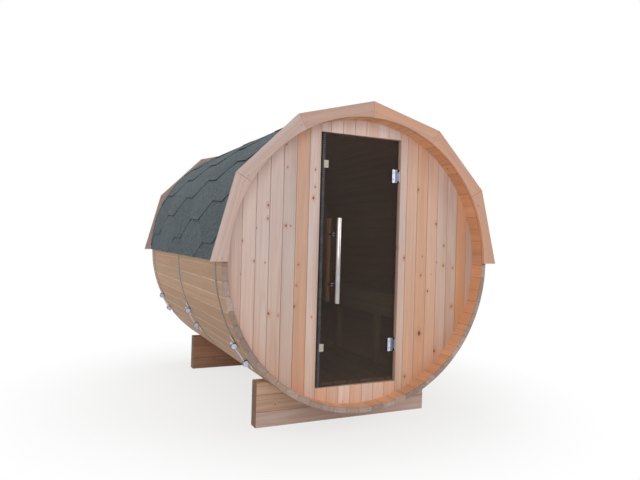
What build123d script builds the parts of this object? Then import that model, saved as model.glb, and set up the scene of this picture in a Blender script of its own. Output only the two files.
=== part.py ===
from build123d import *

import os
from math import asin, atan2, ceil, cos, degrees, hypot, radians, sin, sqrt

# Barrel sauna. Lengths are in millimetres and angles in degrees.
# The origin is on the ground under the middle of the barrel. +Z is up,
# the barrel lies along Y, and its glass door faces -Y.
# Angles round the barrel run from +X towards +Z, seen with -Y at the viewer's back.

# Barrel of coopered staves
barrel_radius = 960.0
barrel_length = 2430.0
stave_count = 67
stave_thickness = 36.0
first_seam_angle = -0.9
stave_panel_count = 10
stave_bevel = 2.5
panel_gap = 0.3

# End walls, seated in grooves cut round the inside of the staves
overhang = 106.0
wall_thickness = 45.0
wall_seat_depth = 12.0
wall_seat_clearance = 0.4
wall_joint_gap = 0.2
board_width = 86.0
board_groove_width = 4.0
board_groove_depth = 3.0

# Doorway, a little left of the middle, between the sill and the lintel boards
doorway_width = 596.5
doorway_offset = -4.75
sill_height = 132.4
lintel_height = 111.5

# First board seam of each piece of the front wall, from the side of the doorway
seam_left_of_doorway = 77.0
seam_right_of_doorway = 55.5
seam_over_doorway = 68.0
seam_under_doorway = 81.0

# Glass door
glass_thickness = 8.0
glass_recess = 22.0
glass_gap = 7.0
hinge_height = 91.0
hinge_width = 48.0
hinge_plate = 7.0
hinge_lug_height = 15.0
hinge_barrel_radius = 6.5
hinge_pin_radius = 3.0
hinge_pin_clearance = 0.3
hinge_wall_plate = 5.0
hinge_wall_plate_depth = 54.0
hinge_setback = 20.0
upper_hinge_drop = 242.5
lower_hinge_rise = 244.5
seal_width = 15.0
seal_thickness = 3.0
seal_jamb_gap = 5.0
catch_width = 33.0
catch_height = 50.0
catch_from_edge = 6.0
catch_plate = 3.0
upper_catch_drop = 203.0
lower_catch_rise = 255.5
jamb_catch_width = 16.0
jamb_catch_depth = 20.0
jamb_catch_gap = 5.0

# How far the door stands open, turned on its hinges from shut
door_open_angle = 3.0

# Door handles: a steel bar outside and a wooden bar inside on the same two bolts
handle_from_edge = 99.5
handle_length = 541.0
handle_over_axis = 9.5
handle_radius = 17.0
handle_reach_outside = 66.0
handle_reach_inside = 60.0
handle_bolt_radius = 6.0
handle_bolt_sink = 5.0
lower_bolt_setback = 114.0
upper_bolt_setback = 105.0
handle_bolt_sides = 16
rosette_radius = 12.0
rosette_thickness = 3.0
handle_bar_chamfer = 1.5
glass_hole_clearance = 1.0

# Fascia boards on both ends, half of a regular twelve-sided ring round the barrel
fascia_rise = 69.0
fascia_cover = 30.0
fascia_thickness = 20.0
fascia_sides = 12
fascia_joint_gap = 0.3

# Roof covering of overlapping courses over the upper half
roof_clearance = 0.3
roof_eave_thickness = 8.0
roof_crown_rise = 20.0
course_count = 24
course_butt = 3.5
roof_panel_count = 6

# Steel bands and their tensioners
band_width = 30.0
band_thickness = 1.2
band_clearance = 0.3
front_band_setback = 140.0
middle_band_offset = -15.0
rear_band_setback = 125.0
tensioner_angles = (-144.5, -150.1, -150.1)
dowel_spacing = 133.1
dowel_radius = 17.0
dowel_length = 36.0
dowel_sides = 16
rod_radius = 4.0
rod_sides = 8
rod_slot_clearance = 1.5
rod_overrun = 16.0
nut_radius = 8.0
nut_thickness = 7.0

# Cradles under the barrel
cradle_half_width = 638.0
cradle_shoulder = 39.5
cradle_thickness = 85.0
cradle_under_barrel = 110.0
front_cradle_setback = 267.0
rear_cradle_setback = 330.0
cradle_clearance = 0.3
cradle_seam_heights = (98.0, 210.0)

# Floor of boards on bearers cut to the barrel's curve
floor_over_sill = 17.5
floor_board_width = 90.0
floor_board_gap = 8.0
floor_board_thickness = 22.0
floor_bearer_thickness = 40.0
floor_bearer_count = 4
floor_end_gap = 5.0
seat_clearance = 0.6

# Bench along the right wall
bench_leg_from_floor = 11.0
bench_wall_gap = 9.5
bench_over_floor = 535.0
bench_board_count = 4
bench_board_gap = 10.0
bench_board_thickness = 28.0
bench_apron_height = 140.0
bench_post = 45.0
first_leg_setback = 504.0
last_leg_setback = 334.0
bench_leg_count = 3

# Values that follow from those above
axis_height = barrel_radius + cradle_under_barrel
stave_pitch = 360.0 / stave_count
stave_flat_radius = barrel_radius * cos(radians(stave_pitch / 2))
inner_flat_radius = stave_flat_radius - stave_thickness
inner_corner_radius = inner_flat_radius / cos(radians(stave_pitch / 2))
front_end = -barrel_length / 2
wall_face = front_end + overhang
wall_inside = wall_face + wall_thickness
wall_radius = inner_flat_radius + wall_seat_depth
wall_corner_radius = wall_radius / cos(radians(stave_pitch / 2))
doorway_left = doorway_offset - doorway_width / 2
doorway_right = doorway_offset + doorway_width / 2
doorway_bottom = axis_height - wall_radius + sill_height
doorway_top = axis_height + wall_radius - lintel_height
glass_face = wall_face + glass_recess
glass_middle = glass_face + glass_thickness / 2
glass_back = glass_face + glass_thickness
glass_left = doorway_left + glass_gap
glass_right = doorway_right - glass_gap
glass_bottom = doorway_bottom + glass_gap
glass_top = doorway_top - glass_gap
pivot_x = doorway_right - hinge_setback
handle_x = doorway_left + handle_from_edge
band_inner_radius = barrel_radius + band_clearance
band_outer_radius = band_inner_radius + band_thickness
dowel_centre_radius = band_outer_radius + band_clearance + dowel_radius
roof_inner_radius = band_outer_radius + roof_clearance
cabin_length = barrel_length - 2 * (overhang + wall_thickness)

os.makedirs("parts", exist_ok=True)


def section(y):
    """Plane across the barrel at y, with its origin on the barrel's axis."""
    return Plane(origin=(0, y, axis_height), x_dir=(1, 0, 0), z_dir=(0, -1, 0))


def polar(radius, angle):
    """Point in a section plane, given round the barrel's axis."""
    return (radius * cos(radians(angle)), radius * sin(radians(angle)))


def stave_polygon(radius):
    """Corners of a ring that runs flat along each stave, one at each seam."""
    return [polar(radius, first_seam_angle + index * stave_pitch) for index in range(stave_count)]


def save(solid, name):
    solid.label = name
    export_step(solid, "parts/" + name + ".step")


def stave_outline(first, last):
    """Outline of the staves from one seam to another, with a groove at each seam."""
    trim = degrees(asin(panel_gap / 2 / barrel_radius))
    flat_trim = degrees(atan2(stave_bevel, barrel_radius))
    outside = []
    inside = []
    for index in range(first, last + 1):
        seam = first_seam_angle + index * stave_pitch
        if index == first:
            seam += trim
        if index == last:
            seam -= trim
        if index > first:
            outside.append(polar(barrel_radius, seam - flat_trim))
        outside.append(polar(barrel_radius - stave_bevel, seam))
        if index < last:
            outside.append(polar(barrel_radius, seam + flat_trim))
        inside.append(polar(inner_corner_radius, seam))
    return outside + inside[::-1]


# Stave panels: each holds several staves, with the grooves that seat both end walls
for panel in range(stave_panel_count):
    first_stave = panel * stave_count // stave_panel_count
    last_stave = (panel + 1) * stave_count // stave_panel_count
    seat_length = wall_thickness + 2 * wall_seat_clearance
    seat_starts = (wall_face - wall_seat_clearance, -wall_inside - wall_seat_clearance)
    with BuildPart() as staves:
        with BuildSketch(section(front_end)):
            with BuildLine():
                Polyline(*stave_outline(first_stave, last_stave), close=True)
            make_face()
        extrude(amount=-barrel_length)
        for seat_start in seat_starts:
            with BuildSketch(section(seat_start)):
                with BuildLine():
                    Polyline(*stave_polygon(wall_corner_radius + wall_seat_clearance), close=True)
                make_face()
            extrude(amount=-seat_length, mode=Mode.SUBTRACT)
    save(staves.part, "staves_%02d" % (panel + 1))


def cut_board_grooves(face_y, inward, seams):
    """Cut the upright V grooves between boards into the face at face_y."""
    for seam in seams:
        with BuildSketch(Plane.XY) as groove:
            with BuildLine():
                Polyline(
                    (seam - board_groove_width / 2, face_y),
                    (seam + board_groove_width / 2, face_y),
                    (seam, face_y + inward * board_groove_depth),
                    close=True,
                )
            make_face()
        extrude(groove.sketch, amount=2 * axis_height, mode=Mode.SUBTRACT)


def seams_between(first, step, low, high):
    """Places of the board seams that lie between two sides of a wall piece."""
    count = ceil((high - low) / abs(step))
    places = [first + index * step for index in range(-count, count + 1)]
    margin = board_groove_width
    return [place for place in places if low + margin < place < high - margin]


# Front wall in four pieces round the doorway: name, x from and to, z from and to, first seam
wall_side = wall_corner_radius
wall_bottom = axis_height - wall_side
wall_top = axis_height + wall_side
seam_left = doorway_left - seam_left_of_doorway
seam_right = doorway_right + seam_right_of_doorway
seam_top = doorway_left + seam_over_doorway
seam_sill = doorway_left + seam_under_doorway
front_wall_pieces = (
    ("front_wall_left", -wall_side, doorway_left, wall_bottom, wall_top, seam_left),
    ("front_wall_right", doorway_right, wall_side, wall_bottom, wall_top, seam_right),
    ("front_wall_top", doorway_left, doorway_right, doorway_top, wall_top, seam_top),
    ("front_wall_sill", doorway_left, doorway_right, wall_bottom, doorway_bottom, seam_sill),
)
for name, left, right, bottom, top, first_seam in front_wall_pieces:
    joint_gap = wall_joint_gap if left == doorway_left else 0.0
    with BuildPart() as front_wall:
        with BuildSketch(section(wall_face)):
            with BuildLine():
                Polyline(*stave_polygon(wall_corner_radius), close=True)
            make_face()
            with Locations(((left + right) / 2, (bottom + top) / 2 - axis_height)):
                Rectangle(right - left - 2 * joint_gap, top - bottom, mode=Mode.INTERSECT)
        extrude(amount=-wall_thickness)
        cut_board_grooves(wall_face, 1, seams_between(first_seam, board_width, left, right))
    save(front_wall.part, name)

# Back wall, one disc of boards
with BuildPart() as back_wall:
    with BuildSketch(section(-wall_inside)):
        with BuildLine():
            Polyline(*stave_polygon(wall_corner_radius), close=True)
        make_face()
    extrude(amount=-wall_thickness)
    back_seams = seams_between(board_width / 2, board_width, -wall_radius, wall_radius)
    cut_board_grooves(-wall_face, -1, back_seams)
save(back_wall.part, "back_wall")


def fascia_board(plane, index):
    """One mitred fascia board, straight outside and round inside, on a plane."""
    fascia_corner_radius = barrel_radius + fascia_rise
    fascia_inner_radius = barrel_radius - fascia_cover
    trim = degrees(asin(fascia_joint_gap / 2 / fascia_inner_radius))
    low = index * 360 / fascia_sides + trim
    high = (index + 1) * 360 / fascia_sides - trim
    with BuildSketch(plane) as outline:
        with BuildLine():
            Line(polar(fascia_inner_radius, low), polar(fascia_corner_radius, low))
            Line(polar(fascia_corner_radius, low), polar(fascia_corner_radius, high))
            Line(polar(fascia_corner_radius, high), polar(fascia_inner_radius, high))
            ThreePointArc(
                polar(fascia_inner_radius, high),
                polar(fascia_inner_radius, (low + high) / 2),
                polar(fascia_inner_radius, low),
            )
        make_face()
    return outline.sketch


# Fascia: three boards on each side of each end
boards_per_side = fascia_sides // 4
fascia_ends = (("front_fascia", front_end - fascia_thickness), ("rear_fascia", -front_end))
for end_name, end_y in fascia_ends:
    for side_name, first_board in (("right", 0), ("left", boards_per_side)):
        with BuildPart() as fascia:
            for board in range(first_board, first_board + boards_per_side):
                extrude(fascia_board(section(end_y), board), amount=-fascia_thickness)
        save(fascia.part, end_name + "_" + side_name)


def roof_radius(angle):
    """Outside of the covering, which stands further off the staves at the crown."""
    return barrel_radius + roof_eave_thickness + roof_crown_rise * sin(radians(angle))


def roof_outline(plane, first, last, side):
    """Some courses on a plane, counted from the eave. side is 1 on the right, -1 on the left."""
    course_angle = 180.0 / course_count

    def place(course, extra):
        angle = course * course_angle
        x, z = polar(roof_radius(angle) + extra, angle)
        return (side * x, z)

    def inner(course):
        x, z = polar(roof_inner_radius, course * course_angle)
        return (side * x, z)

    outside = []
    for course in range(first, last):
        outside.append(place(course, course_butt))
        outside.append(place(course + 0.5, course_butt / 2))
        outside.append(place(course + 1, 0.0))
    with BuildSketch(plane) as outline:
        with BuildLine():
            Polyline(*outside)
            Line(outside[-1], inner(last))
            ThreePointArc(inner(last), inner((first + last) / 2), inner(first))
            Line(inner(first), outside[0])
        make_face()
    return outline.sketch


# Roof covering in panels of several courses, the same on both sides of the ridge
panels_per_side = roof_panel_count // 2
courses_per_panel = course_count // roof_panel_count
for side_name, side in (("right", 1), ("left", -1)):
    for panel in range(panels_per_side):
        first_course = panel * courses_per_panel
        last_course = first_course + courses_per_panel
        with BuildPart() as roof:
            courses = roof_outline(section(front_end), first_course, last_course, side)
            extrude(courses, amount=-barrel_length)
        save(roof.part, "roof_%s_%d" % (side_name, panel + 1))


def band_end_angles(middle):
    """Where the two cross dowels of a tensioner stand."""
    half_spread = degrees(asin(dowel_spacing / 2 / dowel_centre_radius))
    return (middle - half_spread, middle + half_spread)


def rod_plane(y, middle):
    """Plane at one end of the tensioner's rod, facing along it."""
    low, high = band_end_angles(middle)
    x1, z1 = polar(dowel_centre_radius, low)
    x2, z2 = polar(dowel_centre_radius, high)
    length = hypot(x2 - x1, z2 - z1)
    along = ((x2 - x1) / length, 0, (z2 - z1) / length)
    reach = dowel_radius + rod_overrun
    origin = (x1 - along[0] * reach, y, z1 - along[2] * reach + axis_height)
    return Plane(origin=origin, x_dir=(0, 1, 0), z_dir=along), length + 2 * reach


# Steel bands: a strip round the staves that ends in an eye round each cross dowel
band_names = ("band_front", "band_middle", "band_rear")
band_ys = (front_end + front_band_setback, middle_band_offset, -front_end - rear_band_setback)
eye_corner = 1 / cos(radians(180.0 / dowel_sides))
eye_inner = (dowel_radius + band_clearance) * eye_corner
eye_outer = (dowel_radius + band_clearance + band_thickness) * eye_corner
for name, band_y, middle in zip(band_names, band_ys, tensioner_angles):
    low, high = band_end_angles(middle)
    plane, rod_length = rod_plane(band_y, middle)
    with BuildPart() as band:
        with BuildSketch(section(band_y - band_width / 2)):
            with BuildLine():
                Polyline(*stave_polygon(band_outer_radius), close=True)
            make_face()
            with BuildLine():
                Polyline(*stave_polygon(band_inner_radius), close=True)
            make_face(mode=Mode.SUBTRACT)
            with BuildLine():
                Polyline(
                    (0, 0),
                    polar(2 * barrel_radius, low),
                    polar(2 * barrel_radius, high),
                    close=True,
                )
            make_face(mode=Mode.SUBTRACT)
            for angle in (low, high):
                with Locations(polar(dowel_centre_radius, angle)):
                    RegularPolygon(eye_outer, dowel_sides)
            for angle in (low, high):
                with Locations(polar(dowel_centre_radius, angle)):
                    RegularPolygon(eye_inner, dowel_sides, mode=Mode.SUBTRACT)
        extrude(amount=-band_width)
        with BuildSketch(plane):
            Rectangle(2 * rod_radius + rod_slot_clearance, 2 * rod_radius + rod_slot_clearance)
        extrude(amount=rod_length, mode=Mode.SUBTRACT)
    save(band.part, name)

# Tensioners: two cross dowels drawn together by a threaded rod with a nut at each end
with BuildPart() as tensioners:
    for band_y, middle in zip(band_ys, tensioner_angles):
        plane, rod_length = rod_plane(band_y, middle)
        with BuildSketch(section(band_y - dowel_length / 2)):
            for angle in band_end_angles(middle):
                with Locations(polar(dowel_centre_radius, angle)):
                    RegularPolygon(dowel_radius, dowel_sides)
        extrude(amount=-dowel_length)
        with BuildSketch(plane):
            RegularPolygon(rod_radius, rod_sides)
        extrude(amount=rod_length)
        nut_start = rod_overrun + band_thickness - nut_thickness - rod_radius
        for nut_place in (nut_start, rod_length - nut_start - nut_thickness):
            with BuildSketch(plane.offset(nut_place)):
                RegularPolygon(nut_radius, 6)
            extrude(amount=nut_thickness)
save(tensioners.part, "band_tensioners")


# Cradles: boards under the barrel, cut out to its curve
cradle_arc_radius = barrel_radius + cradle_clearance
shoulder_x = cradle_half_width - cradle_shoulder
shoulder = -sqrt(cradle_arc_radius ** 2 - shoulder_x ** 2)
rear_cradle_y = -front_end - rear_cradle_setback - cradle_thickness
cradle_ys = (front_end + front_cradle_setback, rear_cradle_y)
for name, cradle_y in zip(("cradle_front", "cradle_rear"), cradle_ys):
    with BuildPart() as cradle:
        with BuildSketch(section(cradle_y)):
            with BuildLine():
                Polyline(
                    (-shoulder_x, shoulder),
                    (-cradle_half_width, shoulder),
                    (-cradle_half_width, -axis_height),
                    (cradle_half_width, -axis_height),
                    (cradle_half_width, shoulder),
                    (shoulder_x, shoulder),
                )
                ThreePointArc((shoulder_x, shoulder), (0, -cradle_arc_radius), (-shoulder_x, shoulder))
            make_face()
        extrude(amount=-cradle_thickness)
        for seam_height in cradle_seam_heights:
            for face_y, inward in ((cradle_y, 1), (cradle_y + cradle_thickness, -1)):
                with BuildSketch(Plane.YZ.offset(-cradle_half_width)):
                    with BuildLine():
                        Polyline(
                            (face_y, seam_height - board_groove_width / 2),
                            (face_y, seam_height + board_groove_width / 2),
                            (face_y + inward * board_groove_depth, seam_height),
                            close=True,
                        )
                    make_face()
                extrude(amount=2 * cradle_half_width, mode=Mode.SUBTRACT)
    save(cradle.part, name)


def block(x_range, y_range, z_range):
    """Rectangular block given by its limits."""
    middle_x = (x_range[0] + x_range[1]) / 2
    middle_y = (y_range[0] + y_range[1]) / 2
    with BuildSketch(Plane.XY.offset(z_range[0])) as base:
        with Locations((middle_x, middle_y)):
            Rectangle(x_range[1] - x_range[0], y_range[1] - y_range[0])
    extrude(base.sketch, amount=z_range[1] - z_range[0])


# Floor boards along the cabin, on bearers that fit the curve of the staves
floor_half = cabin_length / 2 - floor_end_gap
floor_height = doorway_bottom + floor_over_sill
floor_pitch = floor_board_width + floor_board_gap
floor_underside = floor_height - floor_board_thickness
seat_radius = inner_flat_radius - seat_clearance
floor_width = 2 * sqrt(seat_radius ** 2 - (axis_height - floor_underside) ** 2)
floor_board_count = int((floor_width + floor_board_gap) // floor_pitch)
with BuildPart() as floor_boards:
    for index in range(floor_board_count):
        board_x = (index - (floor_board_count - 1) / 2) * floor_pitch
        block(
            (board_x - floor_board_width / 2, board_x + floor_board_width / 2),
            (-floor_half, floor_half),
            (floor_underside, floor_height),
        )
save(floor_boards.part, "floor_boards")

bearer_pitch = (2 * floor_half - floor_bearer_thickness) / (floor_bearer_count - 1)
with BuildPart() as floor_bearers:
    for index in range(floor_bearer_count):
        bearer_y = -floor_half + index * bearer_pitch
        with BuildSketch(section(bearer_y)):
            Circle(seat_radius)
            with Locations((0, floor_underside)):
                Rectangle(2 * barrel_radius, 2 * axis_height, mode=Mode.SUBTRACT)
        extrude(amount=-floor_bearer_thickness)
save(floor_bearers.part, "floor_bearers")

# Bench: boards along the right wall, an apron below their front edge, bearers, and legs
# whose feet are cut to the curve of the staves
bench_half = cabin_length / 2 - floor_end_gap
bench_height = floor_height + bench_over_floor
bench_underside = bench_height - bench_board_thickness
floor_edge = (floor_board_count * floor_pitch - floor_board_gap) / 2
leg_front = floor_edge + bench_leg_from_floor
bench_front = leg_front - bench_board_thickness
bench_edge = sqrt(seat_radius ** 2 - (axis_height - bench_underside) ** 2) - bench_wall_gap
bench_pitch = (bench_edge - bench_front + bench_board_gap) / bench_board_count
bench_board_width = bench_pitch - bench_board_gap
bearer_underside = bench_underside - bench_post
bench_back = sqrt(seat_radius ** 2 - (axis_height - bearer_underside) ** 2)
with BuildPart() as bench_seat:
    for index in range(bench_board_count):
        board_x = bench_front + index * bench_pitch
        block(
            (board_x, board_x + bench_board_width),
            (-bench_half, bench_half),
            (bench_underside, bench_height),
        )
save(bench_seat.part, "bench_seat")

with BuildPart() as bench_apron:
    block(
        (bench_front, leg_front),
        (-bench_half, bench_half),
        (bench_underside - bench_apron_height, bench_underside),
    )
save(bench_apron.part, "bench_apron")

first_leg = wall_inside + first_leg_setback
leg_pitch = (cabin_length - first_leg_setback - last_leg_setback) / (bench_leg_count - 1)
leg_places = [first_leg + index * leg_pitch for index in range(bench_leg_count)]
with BuildPart() as bench_legs:
    for leg_y in leg_places:
        with BuildSketch(section(leg_y - bench_post / 2)):
            Circle(seat_radius)
            with Locations((leg_front + bench_post / 2, bearer_underside - 2 * axis_height)):
                Rectangle(bench_post, 2 * axis_height, mode=Mode.INTERSECT)
        extrude(amount=-bench_post)
save(bench_legs.part, "bench_legs")

with BuildPart() as bench_bearers:
    for leg_y in leg_places:
        block(
            (leg_front, bench_back),
            (leg_y - bench_post / 2, leg_y + bench_post / 2),
            (bearer_underside, bench_underside),
        )
save(bench_bearers.part, "bench_bearers")


def hang(leaf_part):
    """A piece of the door, made shut and then turned on the hinges as far as the door stands open."""
    return leaf_part.rotate(Axis((pivot_x, glass_middle, 0), (0, 0, 1)), door_open_angle)


# Door glass: one tempered pane, notched round each hinge and drilled for the handle bolts
hinge_heights = (doorway_bottom + lower_hinge_rise, doorway_top - upper_hinge_drop)
handle_bottom = axis_height + handle_over_axis - handle_length / 2
handle_top = handle_bottom + handle_length
handle_bolt_heights = (handle_bottom + lower_bolt_setback, handle_top - upper_bolt_setback)
notch_left = pivot_x - 2 * hinge_plate
notch_height = hinge_height + 2 * hinge_pin_clearance
with BuildPart() as door_glass:
    block((glass_left, glass_right), (glass_face, glass_back), (glass_bottom, glass_top))
    with BuildSketch(section(glass_face)):
        for height in hinge_heights:
            with Locations(((notch_left + glass_right) / 2, height - axis_height)):
                Rectangle(glass_right - notch_left, notch_height)
        for height in handle_bolt_heights:
            with Locations((handle_x, height - axis_height)):
                Circle(handle_bolt_radius + glass_hole_clearance)
    extrude(amount=-glass_thickness, mode=Mode.SUBTRACT)
save(hang(door_glass.part), "door_glass")

# Hinge clamps: plates on both faces of the glass, with a lug at top and bottom round the pin
clamp_half = glass_thickness / 2 + hinge_plate
plate_right = pivot_x - hinge_plate
clamp_left = pivot_x + clamp_half - hinge_width
with BuildPart() as hinge_clamps:
    for height in hinge_heights:
        low = height - hinge_height / 2
        high = height + hinge_height / 2
        block((clamp_left, plate_right), (glass_middle - clamp_half, glass_face), (low, high))
        block((clamp_left, plate_right), (glass_back, glass_middle + clamp_half), (low, high))
        for lug_low in (low, high - hinge_lug_height):
            with BuildSketch(Plane.XY.offset(lug_low)):
                with Locations((pivot_x, glass_middle)):
                    Circle(clamp_half)
                lug_left = notch_left + hinge_pin_clearance
                with Locations(((lug_left + pivot_x) / 2, glass_middle)):
                    Rectangle(pivot_x - lug_left, 2 * clamp_half)
                with Locations((pivot_x, glass_middle)):
                    Circle(hinge_pin_radius + hinge_pin_clearance, mode=Mode.SUBTRACT)
            extrude(amount=hinge_lug_height)
save(hang(hinge_clamps.part), "hinge_clamps")

# Hinge wall plates: a plate on the jamb, a web to the barrel of the hinge, and the pin
web_half = hinge_barrel_radius / 2
barrel_half = hinge_height / 2 - hinge_lug_height - hinge_pin_clearance
pin_half = hinge_height / 2 - hinge_pin_radius
plate_left = doorway_right - hinge_wall_plate
with BuildPart() as hinge_wall_plates:
    for height in hinge_heights:
        block(
            (plate_left, doorway_right),
            (glass_middle - hinge_wall_plate_depth / 2 + hinge_plate,
             glass_middle + hinge_wall_plate_depth / 2 - hinge_plate),
            (height - hinge_height / 2, height + hinge_height / 2),
        )
        block(
            (pivot_x, plate_left),
            (glass_middle - web_half, glass_middle + web_half),
            (height - barrel_half, height + barrel_half),
        )
        for radius, half in ((hinge_barrel_radius, barrel_half), (hinge_pin_radius, pin_half)):
            with BuildSketch(Plane.XY.offset(height - half)):
                with Locations((pivot_x, glass_middle)):
                    Circle(radius)
            extrude(amount=2 * half)
save(hinge_wall_plates.part, "hinge_wall_plates")

# Seal strip: a channel over the free edge of the glass
seal_left = doorway_left + seal_jamb_gap
with BuildPart() as door_seal:
    block(
        (seal_left, glass_left + seal_width),
        (glass_face - seal_thickness, glass_back + seal_thickness),
        (glass_bottom, glass_top),
    )
    with BuildSketch(Plane.XY.offset(glass_bottom)):
        with Locations(((glass_left + glass_right) / 2, glass_middle)):
            Rectangle(glass_right - glass_left, glass_thickness)
    extrude(amount=glass_top - glass_bottom, mode=Mode.SUBTRACT)
save(hang(door_seal.part), "door_seal")

# Catch plates on the seal's front, and the catches behind the glass on the jamb
catch_face = glass_face - seal_thickness
catch_heights = (doorway_bottom + lower_catch_rise, doorway_top - upper_catch_drop)
with BuildPart() as catch_plates:
    for height in catch_heights:
        block(
            (glass_left + catch_from_edge, glass_left + catch_from_edge + catch_width),
            (catch_face - catch_plate, catch_face),
            (height - catch_height / 2, height + catch_height / 2),
        )
save(hang(catch_plates.part), "catch_plates")

catch_back = glass_back + seal_thickness + jamb_catch_gap
with BuildPart() as jamb_catches:
    for height in catch_heights:
        block(
            (doorway_left, doorway_left + jamb_catch_width),
            (catch_back, catch_back + jamb_catch_depth),
            (height - catch_height / 2, height + catch_height / 2),
        )
save(jamb_catches.part, "jamb_catches")


def handle_bar(y):
    """Round upright bar with softened ends."""
    with BuildSketch(Plane.XY.offset(handle_bottom)) as end:
        with Locations((handle_x, y)):
            Circle(handle_radius)
    extrude(end.sketch, amount=handle_length)


outer_bar_y = glass_face - handle_reach_outside
inner_bar_y = glass_back + handle_reach_inside
with BuildPart() as handle_outer:
    handle_bar(outer_bar_y)
    chamfer(handle_outer.edges().filter_by(GeomType.CIRCLE), handle_bar_chamfer)
save(hang(handle_outer.part), "handle_outer")

with BuildPart() as handle_inner:
    handle_bar(inner_bar_y)
    chamfer(handle_inner.edges().filter_by(GeomType.CIRCLE), handle_bar_chamfer)
save(hang(handle_inner.part), "handle_inner")

# Handle bolts: each runs from bar to bar through the glass, with a rosette on both faces
bolt_start = outer_bar_y + handle_radius - handle_bolt_sink
bolt_end = inner_bar_y - handle_radius + handle_bolt_sink
with BuildPart() as handle_bolts:
    for height in handle_bolt_heights:
        centre = (handle_x, height - axis_height)
        with BuildSketch(section(bolt_start)):
            with Locations(centre):
                RegularPolygon(handle_bolt_radius, handle_bolt_sides)
        extrude(amount=bolt_start - bolt_end)
        for rosette_y in (glass_face - rosette_thickness, glass_back):
            with BuildSketch(section(rosette_y)):
                with Locations(centre):
                    RegularPolygon(rosette_radius, handle_bolt_sides)
            extrude(amount=-rosette_thickness)
save(hang(handle_bolts.part), "handle_bolts")
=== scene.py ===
import random
from math import asin, ceil, cos, degrees, inf, pi, radians, sin, sqrt

import bmesh
import bpy
from mathutils import Matrix, Vector


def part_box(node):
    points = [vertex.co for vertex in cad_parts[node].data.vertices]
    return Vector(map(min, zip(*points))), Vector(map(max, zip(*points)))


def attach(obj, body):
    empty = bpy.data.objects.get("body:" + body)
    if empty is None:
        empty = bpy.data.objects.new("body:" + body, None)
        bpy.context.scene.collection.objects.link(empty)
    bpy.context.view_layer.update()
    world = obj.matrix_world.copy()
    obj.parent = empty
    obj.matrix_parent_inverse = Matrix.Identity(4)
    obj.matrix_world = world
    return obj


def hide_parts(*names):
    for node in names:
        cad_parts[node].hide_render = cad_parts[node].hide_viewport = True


# Barrel sauna, in metres and in the frame of the solids: +Z up, the barrel along Y, the door at -Y.
# Angles round the barrel run in degrees from +X towards +Z.

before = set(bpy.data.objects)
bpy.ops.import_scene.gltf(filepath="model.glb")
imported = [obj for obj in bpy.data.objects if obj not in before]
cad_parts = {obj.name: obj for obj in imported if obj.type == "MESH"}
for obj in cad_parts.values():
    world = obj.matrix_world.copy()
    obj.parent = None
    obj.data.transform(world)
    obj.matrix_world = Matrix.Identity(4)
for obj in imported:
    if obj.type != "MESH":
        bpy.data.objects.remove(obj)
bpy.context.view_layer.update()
draw = random.Random(21)

# Sizes that the solids' boxes don't give
MM = 0.001
CLEARANCE = 0.3 * MM
BARREL_RISE = 110 * MM
STAVE_COUNT = 67
FIRST_SEAM = -0.9
STAVE_PITCH = 360.0 / STAVE_COUNT
STAVE_THICKNESS = 36 * MM
STAVE_BEVEL = 3.4 * MM
STAVE_ARRIS = 1.0 * MM
STAVE_GAP = 0.5 * MM
STAVE_BEAD = 7 * MM
BEAD_MARGIN = 7 * MM
STAVE_PANELS = 10
END_ARRIS = 2.8 * MM
WALL_SEAT_DEPTH = 12 * MM
BOARD_WIDTH = 86 * MM
BOARD_ARRIS = 1.6 * MM
BOARD_SLIT = 0.9 * MM
BOARD_SLIT_DEPTH = 9 * MM
TONGUE_GAP = 0.15 * MM
DOOR_OPEN = radians(3.0)
HINGE_SETBACK = 20 * MM
GLASS_SETBACK = 26 * MM

# Small knots: how many a board may have, how likely each one is, and their radii
KNOT_COUNT = 4
KNOT_CHANCE = 0.35
KNOT_RADII = (1.5, 4.2)
NO_KNOT = 99.0

# Mesh finishing: how squarely a face looks along the fibres, at the axis, or past the bevel outside
SHARP_ANGLE = radians(32)
WELD_DISTANCE = 0.05 * MM
END_FACING = 0.6
ROUND_FACING = 0.9
EDGE_FACING = 0.5

X_AXIS = Vector((1, 0, 0))
Y_AXIS = Vector((0, 1, 0))
Z_AXIS = Vector((0, 0, 1))

# Places read from the solids
staves_low, staves_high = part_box("staves_01")
front_end = staves_low.y
rear_end = staves_high.y
wall_low, wall_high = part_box("front_wall_left")
wall_face = wall_low.y
wall_back = wall_high.y
back_wall_low, back_wall_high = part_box("back_wall")
axis_z = round((back_wall_low.z + back_wall_high.z) / 2, 3)
barrel_radius = axis_z - BARREL_RISE
flat_share = cos(radians(STAVE_PITCH / 2))
stave_flat = barrel_radius * flat_share
inner_corner = (stave_flat - STAVE_THICKNESS) / flat_share
wall_corner = inner_corner + WALL_SEAT_DEPTH
jamb_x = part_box("hinge_wall_plates")[1].x
door_pivot = Vector((jamb_x - HINGE_SETBACK, wall_face + GLASS_SETBACK, 0.0))


def polar(radius, angle):
    """Point (x, z) round the barrel's axis."""
    return (radius * cos(radians(angle)), axis_z + radius * sin(radians(angle)))


def turned(point, angle):
    """A point turned about the upright line through the hinge pins."""
    x = point[0] - door_pivot.x
    y = point[1] - door_pivot.y
    along = x * cos(angle) - y * sin(angle)
    aside = x * sin(angle) + y * cos(angle)
    return Vector((door_pivot.x + along, door_pivot.y + aside, point[2]))


def door_box(name):
    """Lowest and highest corner of a door piece's solids, with the door turned shut."""
    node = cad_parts[name]
    points = [turned(node.matrix_world @ vertex.co, -DOOR_OPEN) for vertex in node.data.vertices]
    low = Vector([min(point[axis] for point in points) for axis in range(3)])
    high = Vector([max(point[axis] for point in points) for axis in range(3)])
    return low, high


# Outlines and rings

def spaced(start, end, steps):
    """Evenly spaced values from start to end, both of them included."""
    return [start + (end - start) * step / steps for step in range(steps + 1)]


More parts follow.
